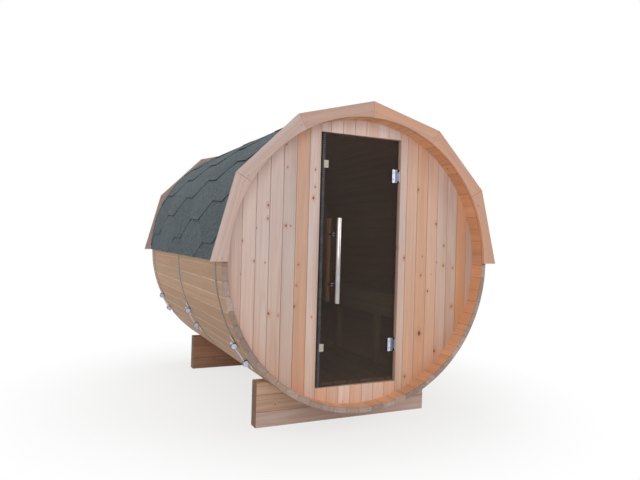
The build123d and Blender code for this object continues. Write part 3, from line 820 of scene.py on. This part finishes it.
def make_walls():
    left = wall_high.x
    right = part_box("front_wall_right")[0].x
    edge = wall_corner - 1 * MM
    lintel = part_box("front_wall_top")[0].z
    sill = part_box("front_wall_sill")[1].z
    front = (wall_face, wall_back)
    back = (back_wall_low.y, back_wall_high.y)
    # The left wall's pinkish hues and the right wall's tan hues are partly painted light, cooler from the
    # left and warmer from the right
    for node, seams, hues in (
        ("front_wall_left", wall_seams(left + LEFT_SEAM, -edge, left), PINKISH),
        ("front_wall_right", wall_seams(right + RIGHT_SEAM, right, edge), TAN),
    ):
        make_wall(node, seams, front, hues, WALL, FRONT_KNOTS, RICH_BOARDS)
    over = wall_seams(left + TOP_SEAM, left, right)
    make_wall("front_wall_top", over, front, PINKISH, DOOR_BOARDS_PAINTED_LIGHT, FRONT_KNOTS, bottom=lintel)
    under = wall_seams(left + SILL_SEAM, left, right)
    make_wall("front_wall_sill", under, front, PINKISH, DOOR_BOARDS_PAINTED_LIGHT, FRONT_KNOTS, top=sill)
    make_wall("back_wall", wall_seams(BOARD_WIDTH / 2, -edge, edge), back, MIXED, WALL)


# Fascia

FASCIA_SIDES = 12
FASCIA_CORNER = barrel_radius + 69 * MM
FASCIA_INNER = barrel_radius - 35.5 * MM
FASCIA_TRIM = 0.6 * MM
FASCIA_HUES = ((0.8, 1.0), (0.8, 1.0), (0.8, 1.0), (0.35, 0.5), (0.0, 0.25), (0.0, 0.25))
NAIL_CIRCLE = barrel_radius + 2 * MM
NAIL_RADIUS = 2.4 * MM
NAIL_ANGLE = 1.15


def fascia_outline(start, end):
    """One mitred board between two angles, straight outside and round inside."""
    trim = arc_degrees(FASCIA_TRIM, FASCIA_INNER)
    outer = [polar(FASCIA_CORNER, start + trim), polar(FASCIA_CORNER, end - trim)]
    return outer + [polar(FASCIA_INNER, angle) for angle in spaced(end - trim, start + trim, 14)]


def fascia_board(piece, heads, board, low, high, face, inward):
    """One board between its two faces, and its two nail heads."""
    start = board * 360 / FASCIA_SIDES
    end = (board + 1) * 360 / FASCIA_SIDES
    middle = radians((start + end) / 2)
    along = Vector((-sin(middle), 0, cos(middle)))
    across = Vector((cos(middle), 0, sin(middle)))
    piece.board(along, across, FASCIA_HUES[board], reach=0.25, width=0.05, chance=0.08)
    piece.slab(fascia_outline(start, end), low, high, 1.0 * MM, end_slot=1, inner_slot=2)
    for angle in (start + NAIL_ANGLE, end - NAIL_ANGLE):
        x, z = polar(NAIL_CIRCLE, angle)
        ring = circle(x, z, NAIL_RADIUS, 12)
        heads.loft([upright(ring, face + inward * 2 * MM), upright(ring, face - inward * 0.2 * MM)])


def make_fascia():
    nails = {}
    for end_name, inward in (("front_fascia", 1), ("rear_fascia", -1)):
        for side_name, first in (("right", 0), ("left", 3)):
            node = end_name + "_" + side_name
            low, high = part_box(node)
            face = low.y if inward > 0 else high.y
            piece = Piece()
            heads = nails.setdefault(end_name, Piece())
            for board in range(first, first + 3):
                fascia_board(piece, heads, board, low.y, high.y, face, inward)
            piece.make(node + "_boards", "sauna", [FASCIA, FASCIA_END, STAVE_INNER], [node], "fascia_wood")
    for end_name, heads in nails.items():
        heads.make(end_name + "_nails", "sauna", [NAIL], (), "zinc_steel")


# Shingle covering: angles are in degrees, COURSE_FAN is degrees of fanning for each metre to the rear

COURSE_ANGLE = 9.4
COURSE_START = -2.2
COURSE_FAN = 6.0
COURSE_ROWS = 6
PANEL_COURSES = (range(-1, 4), range(4, 7), range(7, 10))
PLAIN_COURSES = (-1, 9)
SHINGLE_PERIOD = 0.93
SHINGLE_FLAT = 0.24
SHINGLE_SLOPE = (SHINGLE_PERIOD - 2 * SHINGLE_FLAT) / 2
SHINGLE_PHASE = -0.895
SHINGLE_STEP = 3.6 * MM
SHINGLE_LIFT = 0.4 * MM
# Painted shadow: how many degrees the underside of a course reaches below its cut edge, so that the
# near-black cut face slants and shows as the shadow line under the edge
SHINGLE_SHADOW_LIP = 0.15
ROOF_BASE = 966 * MM
ROOF_RISE = 20 * MM


def course_edge(course, y):
    """How far a course's lower edge stands above its lowest line at y, from 0 to 1."""
    phase = SHINGLE_PHASE + (SHINGLE_PERIOD / 2 if course % 2 == 0 else 0.0)
    distance = abs((y - phase + SHINGLE_PERIOD / 2) % SHINGLE_PERIOD - SHINGLE_PERIOD / 2)
    return min(max((distance - SHINGLE_FLAT / 2) / SHINGLE_SLOPE, 0.0), 1.0)


def edge_places():
    """Every y at which the lower edge of some course turns, with both ends of the roof."""
    places = {front_end, rear_end}
    for index in range(-8, 9):
        middle = SHINGLE_PHASE + index * SHINGLE_PERIOD / 2
        for turn in (SHINGLE_FLAT / 2, SHINGLE_FLAT / 2 + SHINGLE_SLOPE):
            for place in (middle - turn, middle + turn):
                if front_end + 2 * MM < place < rear_end - 2 * MM:
                    places.add(round(place, 6))
    return sorted(places)


def roof_point(angle, lift, side, y):
    """A point of the covering, whose courses fan out towards the rear."""
    fanned = angle + COURSE_FAN * y * sin(2 * radians(angle))
    radius = ROOF_BASE + ROOF_RISE * sin(radians(fanned)) + lift
    x, z = polar(radius, fanned)
    return Vector((side * x, y, z))


def course_rows(course, side, y):
    """Upper and lower points of a course at y, from its cut edge to under the course above."""
    line = COURSE_START + COURSE_ANGLE * course
    top_angle = min(line + 2 * COURSE_ANGLE, 90.0)
    rise = 0.0 if course in PLAIN_COURSES else COURSE_ANGLE * course_edge(course, y)
    edge = max(line + rise, 0.0)
    upper = []
    lower = []
    for row, angle in enumerate(spaced(edge, top_angle, COURSE_ROWS)):
        lift = SHINGLE_STEP * (2 - (angle - line) / COURSE_ANGLE)
        # Painted shadow: the first lower row reaches further down, slanting the dark cut face so it shows
        # where a shadow falls
        under = angle - SHINGLE_SHADOW_LIP if row == 0 and edge > SHINGLE_SHADOW_LIP else angle
        upper.append(roof_point(angle, lift + SHINGLE_LIFT, side, y))
        lower.append(roof_point(under, lift - SHINGLE_STEP, side, y))
    return upper, lower


def sheet_face(piece, corners, slot):
    """A face whose points are joined to their neighbours when the mesh is cleaned."""
    base = len(piece.points)
    piece.points += corners
    piece.grain += corners
    piece.mood += [piece.feel] * len(corners)
    piece.faces.append(tuple(range(base, base + len(corners))))
    piece.slots.append(slot)


def make_course(piece, course, side, places):
    """One course of shingles: a thin closed sheet."""
    piece.board(Y_AXIS, X_AXIS)
    columns = [course_rows(course, side, y) for y in places]
    for (up, down), (next_up, next_down) in zip(columns, columns[1:]):
        for row in range(COURSE_ROWS):
            sheet_face(piece, [up[row], next_up[row], next_up[row + 1], up[row + 1]], 0)
            sheet_face(piece, [down[row], down[row + 1], next_down[row + 1], next_down[row]], 1)
        sheet_face(piece, [up[0], down[0], next_down[0], next_up[0]], 1)
        sheet_face(piece, [up[-1], next_up[-1], next_down[-1], down[-1]], 1)
    for up, down in (columns[0], columns[-1]):
        for row in range(COURSE_ROWS):
            sheet_face(piece, [up[row], up[row + 1], down[row + 1], down[row]], 1)


def make_roof():
    places = edge_places()
    for side_name, side in (("right", 1), ("left", -1)):
        for panel, courses in enumerate(PANEL_COURSES):
            piece = Piece()
            for course in courses:
                make_course(piece, course, side, places)
            node = "roof_%s_%d" % (side_name, panel + 1)
            made = piece.make(node + "_shingles", "sauna", [SHINGLE, SHINGLE_CUT], [node], "shingle")
            clean(made.data, WELD_DISTANCE)


# Steel bands and tensioners

BAND_THICKNESS = 1.2 * MM
BAND_INNER = barrel_radius + CLEARANCE
BAND_OUTER = BAND_INNER + BAND_THICKNESS
BAND_ANGLES = (("band_front", -144.5), ("band_middle", -150.1), ("band_rear", -150.1))

# Free end of a band: degrees from its dowel and between its bends, and its distance off the band
TAIL_STEPS = 7
TAIL_START = 1.3
TAIL_PITCH = 0.36
TAIL_LIFT = 2.2 * MM
TAIL_BEND = 0.35 * MM

DOWEL_RADIUS = 17 * MM
DOWEL_HALF = 18 * MM
DOWEL_SPACING = 133.1 * MM
DOWEL_CENTRE = BAND_OUTER + CLEARANCE + DOWEL_RADIUS
THREAD_PITCH = 2.0 * MM
THREAD_RADII = (3.4 * MM, 4.0 * MM)
ROD_END = 16 * MM
WASHER = 1.5 * MM
WASHER_RADIUS = 9 * MM

# The nut's rings, as their distances from the washer and their radii in millimetres
NUT_RINGS = ((0.0, 7.2), (0.8, 8.0), (6.0, 8.0), (6.8, 7.2))


def strip_ring(inner_point, outer_point, y_low, y_high):
    return [
        (inner_point[0], y_low, inner_point[1]),
        (inner_point[0], y_high, inner_point[1]),
        (outer_point[0], y_high, outer_point[1]),
        (outer_point[0], y_low, outer_point[1]),
    ]


def band_eye(piece, angle, y_low, y_high):
    """The loop of a band's end round its dowel."""
    x, z = polar(DOWEL_CENTRE, angle)
    inner = circle(x, z, DOWEL_RADIUS + CLEARANCE)
    outer = circle(x, z, DOWEL_RADIUS + CLEARANCE + BAND_THICKNESS)
    piece.loft([strip_ring(a, b, y_low, y_high) for a, b in zip(inner, outer)], closed=True)


def band_tail(piece, angle, way, y_low, y_high):
    """The free end of a band past its loop, bent a little away from the barrel."""
    tail = []
    for step in range(TAIL_STEPS):
        reach = angle + way * (TAIL_START + TAIL_PITCH * step)
        lift = BAND_OUTER + TAIL_LIFT + TAIL_BEND * step ** 1.6
        tail.append(strip_ring(polar(lift, reach), polar(lift + BAND_THICKNESS, reach), y_low, y_high))
    piece.loft(tail, slot=1)


def make_bands():
    half_spread = degrees(asin(DOWEL_SPACING / 2 / DOWEL_CENTRE))
    tensioners = Piece()
    for node, middle in BAND_ANGLES:
        low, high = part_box(node)
        piece = Piece()
        start = middle + half_spread
        end = middle - half_spread + 360
        seams = [FIRST_SEAM + index * STAVE_PITCH for index in range(-STAVE_COUNT, 2 * STAVE_COUNT)]
        angles = [start] + [seam for seam in seams if start + 0.3 < seam < end - 0.3] + [end]
        strip = [(polar(BAND_INNER, angle), polar(BAND_OUTER, angle)) for angle in angles]
        piece.loft([strip_ring(inner, outer, low.y, high.y) for inner, outer in strip])
        for angle in (start, end):
            band_eye(piece, angle, low.y, high.y)
        for angle, way in ((start, 1), (end, -1)):
            band_tail(piece, angle, way, low.y + 2 * MM, high.y - 2 * MM)
        piece.make(node + "_strip", "sauna", [BAND, ZINC], [node], "band_steel")
        dowels = (polar(DOWEL_CENTRE, start), polar(DOWEL_CENTRE, end))
        add_tensioner(tensioners, dowels, (low.y + high.y) / 2)
    tensioners.make("band_tensioner_set", "sauna", [ZINC], ["band_tensioners"], "zinc_steel")


def add_tensioner(piece, dowels, y):
    """Two cross dowels, the threaded rod between them, and a washer and nut outside each."""
    for x, z in dowels:
        piece.slab(circle(x, z, DOWEL_RADIUS), y - DOWEL_HALF, y + DOWEL_HALF, 1.8 * MM)
    start, end = [Vector((x, y, z)) for x, z in dowels]
    rod = end - start
    along = rod.normalized()
    up = along.cross(Y_AXIS)

    def ring(distance, radius, sides):
        centre = start + along * distance
        return [centre + Y_AXIS * a + up * b for a, b in circle(0.0, 0.0, radius, sides)]

    reach = DOWEL_RADIUS + ROD_END
    threads = []
    for index in range(int((rod.length + 2 * reach) / THREAD_PITCH)):
        distance = index * THREAD_PITCH - reach
        threads.append(ring(distance, THREAD_RADII[0], 10))
        threads.append(ring(distance + THREAD_PITCH / 2, THREAD_RADII[1], 10))
    piece.loft(threads)
    for near, way in ((-DOWEL_RADIUS - WASHER, -1), (rod.length + DOWEL_RADIUS + WASHER, 1)):
        nut = near + way * WASHER
        piece.loft([ring(near, WASHER_RADIUS, 20), ring(nut, WASHER_RADIUS, 20)])
        piece.loft([ring(nut + way * rise * MM, radius * MM, 6) for rise, radius in NUT_RINGS])


# Cradles

CRADLE_SEAMS = (98 * MM, 210 * MM)
CRADLE_TRIM = 26 * MM
CRADLE_GAP = 0.5 * MM
CRADLE_PLY_GAP = 0.2 * MM
CRADLE_HUES = ((0.0, 0.15), (0.55, 0.85), (0.75, 1.0))
CRADLE_ARC = barrel_radius + CLEARANCE


def below_axis(radius, left, right, steps):
    """Points from left to right along the lower side of a circle round the axis."""
    return [(x, axis_z - sqrt(radius ** 2 - x ** 2)) for x in spaced(left, right, steps)]


def cradle_board(bottom, top, half):
    """Outlines of one cradle board: whole under the barrel, or one at each side where the arc cuts it."""
    def reach(z):
        return sqrt(max(CRADLE_ARC ** 2 - (axis_z - z) ** 2, 0.0))
    steps = 16
    if reach(top) == 0.0:
        return [rectangle(-half, half, bottom, top)]
    if reach(bottom) == 0.0:
        arc = below_axis(CRADLE_ARC, reach(top), -reach(top), steps)
        return [[(-half, bottom), (half, bottom), (half, top)] + arc + [(-half, top)]]
    right = [(reach(bottom), bottom), (half, bottom), (half, top)]
    right += below_axis(CRADLE_ARC, reach(top), reach(bottom), steps)[:-1]
    return [right, [(-x, z) for x, z in reversed(right)]]


def make_cradles():
    for node, face in (("cradle_front", CRADLE), ("cradle_rear", REAR_CRADLE)):
        low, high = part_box(node)
        piece = Piece()
        ply = (high.y - low.y) / 2
        levels = (low.z,) + CRADLE_SEAMS + (high.z - CRADLE_TRIM,)
        for layer in range(2):
            start = low.y + layer * ply + CRADLE_PLY_GAP
            end = start + ply - 2 * CRADLE_PLY_GAP
            for index, (bottom, top) in enumerate(zip(levels, levels[1:])):
                bottom = bottom + CRADLE_GAP if index else bottom
                for outline in cradle_board(bottom, top - CRADLE_GAP, high.x):
                    piece.board(X_AXIS, Z_AXIS, CRADLE_HUES[index])
                    piece.slab(outline, start, end, 2.2 * MM, end_slot=1)
        piece.make(node + "_boards", "sauna", [face, CRADLE_END], [node], "cradle_wood")


# Floor and bench

BENCH_POST = 45 * MM
JOIST_DEPTH = 40 * MM
SEAT_RADIUS = stave_flat - STAVE_THICKNESS - 0.6 * MM


def side_by_side(node, name, count, gap):
    """Boards next to each other across a node's box, from end to end of it."""
    low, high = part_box(node)
    width = (high.x - low.x - (count - 1) * gap) / count
    piece = Piece()
    for index in range(count):
        left = low.x + index * (width + gap)
        piece.board(Y_AXIS, X_AXIS)
        outline = rounded(left, left + width, low.z, high.z, 3 * MM, 3)
        piece.slab(outline, low.y, high.y, 1 * MM, end_slot=1)
    piece.make(name, "sauna", [INSIDE, INSIDE_END], [node], "inside_wood")


def one_after_another(node, name, count, depth, outline, ways, arris):
    """Timbers of one outline, spread from the front to the rear of a node's box."""
    low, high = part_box(node)
    piece = Piece()
    for index in range(count):
        start = low.y + index * (high.y - low.y - depth) / (count - 1)
        piece.board(*ways)
        piece.slab(outline, start, start + depth, arris, end_slot=1)
    piece.make(name, "sauna", [INSIDE, INSIDE_END], [node], "inside_wood")


def make_inside():
    side_by_side("floor_boards", "floor_planks", 9, 8 * MM)
    side_by_side("bench_seat", "bench_planks", 4, 10 * MM)
    side_by_side("bench_apron", "bench_apron_board", 1, 0.0)
    low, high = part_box("bench_legs")
    post = below_axis(SEAT_RADIUS, low.x, low.x + BENCH_POST, 6)
    post += [(low.x + BENCH_POST, high.z), (low.x, high.z)]
    one_after_another("bench_legs", "bench_posts", 3, BENCH_POST, post, (Z_AXIS, X_AXIS), 2 * MM)
    low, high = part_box("bench_bearers")
    rail = rectangle(low.x, high.x, low.z, high.z)
    one_after_another("bench_bearers", "bench_rails", 3, BENCH_POST, rail, (X_AXIS, Z_AXIS), 2 * MM)
    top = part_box("floor_bearers")[1].z
    half = sqrt(SEAT_RADIUS ** 2 - (axis_z - top) ** 2)
    joist = below_axis(SEAT_RADIUS, -half, half, 16)
    one_after_another("floor_bearers", "floor_joists", 4, JOIST_DEPTH, joist, (X_AXIS, Z_AXIS), 1 * MM)


# Door

HINGE_HEIGHT = 91 * MM
HINGE_COVER = 22 * MM
HINGE_PLATE_END = 7 * MM
HINGE_PLATE_HALF = 20 * MM
HINGE_CORNER = 3 * MM
HINGE_SCREW = 4.5 * MM
HINGE_SCREW_INSET = 24 * MM
CLAMP_HALF = 11 * MM
LUG_HEIGHT = 15 * MM
LUG_REACH = 13.7 * MM
KNUCKLE_INSET = 15.3 * MM
KNUCKLE_RADIUS = 6.5 * MM
PIN_RADIUS = 3 * MM
WEB_HALF = 3.2 * MM
SEAL_RIBS = 5
SEAL_DIP = 0.9 * MM
CATCH_HEIGHT = 50 * MM
CATCH_SCREW = 4 * MM
BOLT_RADIUS = 6 * MM
ROSETTE_DEPTH = 3 * MM
# The rounded end of a handle bar: how far inwards and how far from the end
BAR_END = ((1.5 * MM, 0.0), (0.9 * MM, 0.25 * MM), (0.35 * MM, 0.75 * MM), (0.0, 1.5 * MM))

glass_low, glass_high = door_box("door_glass")


def screw(piece, x, z, face, radius, slot=0):
    """A countersunk head with a socket, standing a little proud of a face that looks to -Y."""
    rings = []
    for share, proud in ((1.0, -0.4), (1.0, 0.3), (0.86, 0.7), (0.45, 0.7), (0.42, -1.2)):
        rings.append(upright(circle(x, z, radius * share, 24), face - proud * MM))
    piece.loft(rings, slot=slot)


def make_glass():
    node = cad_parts["door_glass"]
    node.data.materials.clear()
    node.data.materials.append(GLASS)


def hinge_clamp(piece, left, bottom, middle):
    """The door's side of a hinge: plates on both faces of the glass, a cover, screws and two lugs."""
    top = bottom + HINGE_HEIGHT
    front = middle - CLAMP_HALF
    back = middle + CLAMP_HALF
    plate = rounded(left, door_pivot.x - HINGE_PLATE_END, bottom, top, HINGE_CORNER)
    piece.slab(plate, front + 2 * MM, glass_low.y, 1.2 * MM, slot=1)
    piece.slab(plate, glass_high.y, back, 1.2 * MM, slot=1)
    cover = rounded(left, left + HINGE_COVER, bottom, top, HINGE_CORNER)
    piece.slab(cover, front, front + 2.2 * MM, 0.8 * MM)
    for height in (bottom + HINGE_SCREW_INSET, top - HINGE_SCREW_INSET):
        screw(piece, left + HINGE_COVER / 2, height, front, HINGE_SCREW, 1)
    lug = [(door_pivot.x - LUG_REACH, back), (door_pivot.x - LUG_REACH, front)]
    lug += arc_points(door_pivot.x, middle, CLAMP_HALF, -90, 90, 16)
    for start in (bottom, top - LUG_HEIGHT):
        piece.slab(lug, start, start + LUG_HEIGHT, 0.9 * MM, level, slot=1)


def hinge_leaf(piece, bottom, middle):
    """The jamb's side of a hinge: a plate, and a web that holds the knuckle and pin between the lugs."""
    top = bottom + HINGE_HEIGHT
    plate = rounded(middle - HINGE_PLATE_HALF, middle + HINGE_PLATE_HALF, bottom, top, HINGE_CORNER)
    rings = []
    for inwards, shape in ((0.0, plate), (4.0, plate), (5.0, inset(plate, MM))):
        rings.append([(jamb_x - inwards * MM, point[0], point[1]) for point in shape])
    piece.loft(rings)
    start = bottom + KNUCKLE_INSET
    end = top - KNUCKLE_INSET
    web = rectangle(door_pivot.x, jamb_x - 4 * MM, middle - WEB_HALF, middle + WEB_HALF)
    piece.loft([level(web, start), level(web, end)], slot=1)
    piece.slab(circle(door_pivot.x, middle, KNUCKLE_RADIUS), start, end, 0.6 * MM, level, slot=1)
    pin = circle(door_pivot.x, middle, PIN_RADIUS, 20)
    piece.slab(pin, bottom + PIN_RADIUS, top - PIN_RADIUS, 0.5 * MM, level)


def make_hinges():
    low, high = door_box("hinge_clamps")
    middle = (glass_low.y + glass_high.y) / 2
    clamps = Piece()
    leaves = Piece()
    for bottom in (low.z, high.z - HINGE_HEIGHT):
        hinge_clamp(clamps, low.x, bottom, middle)
        hinge_leaf(leaves, bottom, middle)
    clamps.make("hinge_clamp_plates", "door", [CHROME, SATIN], ["hinge_clamps"], "chrome_hinge")
    leaves.make("hinge_jamb_leaves", "sauna", [CHROME, SATIN], ["hinge_wall_plates"], "chrome_hinge")


def make_seal():
    """The strip over the glass's free edge, with upright ribs on its face."""
    low, high = door_box("door_seal")
    rib_width = (high.x - low.x) / SEAL_RIBS
    outline = [(low.x, low.y + SEAL_DIP)]
    for rib in range(SEAL_RIBS):
        for share, dip in ((0.12, SEAL_DIP), (0.3, 0.0), (0.7, 0.0), (0.88, SEAL_DIP)):
            outline.append((low.x + rib_width * (rib + share), low.y + dip))
    outline += [
        (high.x, low.y + SEAL_DIP),
        (high.x, glass_low.y),
        (glass_low.x, glass_low.y),
        (glass_low.x, glass_high.y),
        (high.x, glass_high.y),
        (high.x, high.y),
        (low.x, high.y),
    ]
    piece = Piece()
    piece.loft([level(outline, low.z), level(outline, high.z)])
    piece.make("door_seal_strip", "door", [SEAL], ["door_seal"], "seal_plastic")


def plate_pair(low, high, corner, arris):
    """Two equal rounded plates, at the lower and the upper end of a box."""
    piece = Piece()
    for bottom in (low.z, high.z - CATCH_HEIGHT):
        outline = rounded(low.x, high.x, bottom, bottom + CATCH_HEIGHT, corner)
        piece.slab(outline, low.y, high.y, arris)
    return piece


def make_catches():
    low, high = door_box("catch_plates")
    piece = plate_pair(low, high, 4 * MM, 0.8 * MM)
    for height in (low.z + CATCH_HEIGHT / 2, high.z - CATCH_HEIGHT / 2):
        screw(piece, (low.x + high.x) / 2, height, low.y, CATCH_SCREW)
    piece.make("catch_plate_pair", "door", [CATCH], ["catch_plates"], "catch_steel")
    low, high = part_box("jamb_catches")
    piece = plate_pair(low, high, 3 * MM, 1.5 * MM)
    piece.make("jamb_catch_pair", "sauna", [CATCH_BLACK], ["jamb_catches"], "catch_black")


def make_handles():
    for node, material, slot in (
        ("handle_outer", STEEL_BAR, "handle_steel"),
        ("handle_inner", HANDLE_WOOD, "handle_wood"),
    ):
        low, high = door_box(node)
        middle = (low + high) / 2
        radius = (high.x - low.x) / 2
        piece = Piece()
        piece.board(Z_AXIS, X_AXIS)
        ends = [(circle(middle.x, middle.y, radius - inwards, 40), rise) for inwards, rise in BAR_END]
        rings = [level(ring, low.z + rise) for ring, rise in ends]
        piece.loft(rings + [level(ring, high.z - rise) for ring, rise in reversed(ends)])
        piece.make(node + "_bar", "door", [material], [node], slot)
    low, high = door_box("handle_bolts")
    x = (low.x + high.x) / 2
    rosette = (high.x - low.x) / 2
    piece = Piece()
    for z in (low.z + rosette, high.z - rosette):
        shaft = circle(x, z, BOLT_RADIUS, 28)
        piece.loft([upright(shaft, low.y), upright(shaft, high.y)])
        disc = circle(x, z, rosette, 36)
        for start in (glass_low.y - ROSETTE_DEPTH, glass_high.y):
            piece.slab(disc, start, start + ROSETTE_DEPTH, 0.6 * MM)
    piece.make("handle_bolt_pair", "door", [SATIN], ["handle_bolts"], "handle_steel")


# Stage, light and camera

FLOOR_HALF = 40.0
FOCAL_PIXELS = 575.92
PHOTO_WIDTH = 640
SENSOR_WIDTH = 36.0


def make_stage():
    """A pale floor that fades into the white round it."""
    tree = Tree("studio_floor")
    place = tree.object_place()
    fade = tree.span(tree.vector("LENGTH", place), 1.2, 2.5, 0.72, 1.0, True)
    colour = tree.mix(tree.noise(place, 0.8), (236, 236, 235), (242, 242, 241))
    matt = tree.node("ShaderNodeBsdfPrincipled", {"Base Color": colour, "Roughness": 0.9})
    glow = tree.node("ShaderNodeEmission", {"Color": WHITE, "Strength": 1.0})
    shares = {0: tree.times(fade, tree.plain_rays()), 1: matt.outputs[0], 2: glow.outputs[0]}
    both = tree.node("ShaderNodeMixShader", shares)
    tree.node("ShaderNodeOutputMaterial", {"Surface": both.outputs[0]})
    mesh = bpy.data.meshes.new("studio_floor")
    corners = rectangle(-FLOOR_HALF, FLOOR_HALF, -FLOOR_HALF, FLOOR_HALF)
    mesh.from_pydata(level(corners, 0.0), [], [(0, 1, 2, 3)])
    mesh.materials.append(tree.owner)
    floor = placed("studio_floor", mesh)


def make_world():
    """Soft light from all round, seen as plain white."""
    tree = Tree("studio", "worlds")
    soft = tree.node("ShaderNodeBackground", {"Color": (0.96, 0.98, 1.0, 1.0), "Strength": 0.44})
    white = tree.node("ShaderNodeBackground", {"Color": WHITE, "Strength": 1.0})
    shares = {0: tree.plain_rays(), 1: soft.outputs[0], 2: white.outputs[0]}
    both = tree.node("ShaderNodeMixShader", shares)
    tree.node("ShaderNodeOutputWorld", {"Surface": both.outputs[0]})
    bpy.context.scene.world = tree.owner


def add_lamp(name, place, size, power, colour):
    """A round soft lamp that looks at the sauna's middle."""
    lamp = bpy.data.lights.new(name, "AREA")
    lamp.shape = "DISK"
    lamp.size = size
    lamp.energy = power
    lamp.color = colour
    made = placed(name, lamp)
    made.location = place
    made.rotation_euler = (Vector((0, 0, 1.0)) - Vector(place)).to_track_quat("-Z", "Y").to_euler()


def make_lights():
    add_lamp("key", (-3.0, -8.0, 3.2), 5.0, 222, (1.0, 0.985, 0.97))
    add_lamp("fill", (6.6, -5.2, 3.4), 4.0, 130, (1.0, 0.98, 0.95))
    add_lamp("top", (-0.5, 1.5, 7.0), 5.0, 130, (0.97, 0.985, 1.0))
    add_lamp("back", (-5.5, 4.5, 3.0), 4.0, 90, (0.98, 0.99, 1.0))


def make_camera():
    """The photograph's view, found by fitting a camera to the ends, corners and seams in it."""
    camera = bpy.data.cameras.new("camera")
    camera.sensor_fit = "HORIZONTAL"
    camera.sensor_width = SENSOR_WIDTH
    camera.lens = FOCAL_PIXELS / PHOTO_WIDTH * SENSOR_WIDTH
    made = placed("camera", camera)
    made.location = (-1.8508, -4.4113, 1.2178)
    yaw = Matrix.Rotation(radians(-25.21), 3, "Z")
    pitch = Matrix.Rotation(radians(90 - 0.173), 3, "X")
    roll = Matrix.Rotation(radians(1.587), 3, "Z")
    made.rotation_euler = (yaw @ pitch @ roll).to_euler()
    bpy.context.scene.camera = made


make_staves()
make_walls()
make_fascia()
make_roof()
make_bands()
make_cradles()
make_inside()
make_glass()
make_hinges()
make_seal()
make_catches()
make_handles()
make_stage()
make_world()
make_lights()
make_camera()
bpy.context.scene.view_settings.view_transform = "Standard"

bpy.context.view_layer.update()
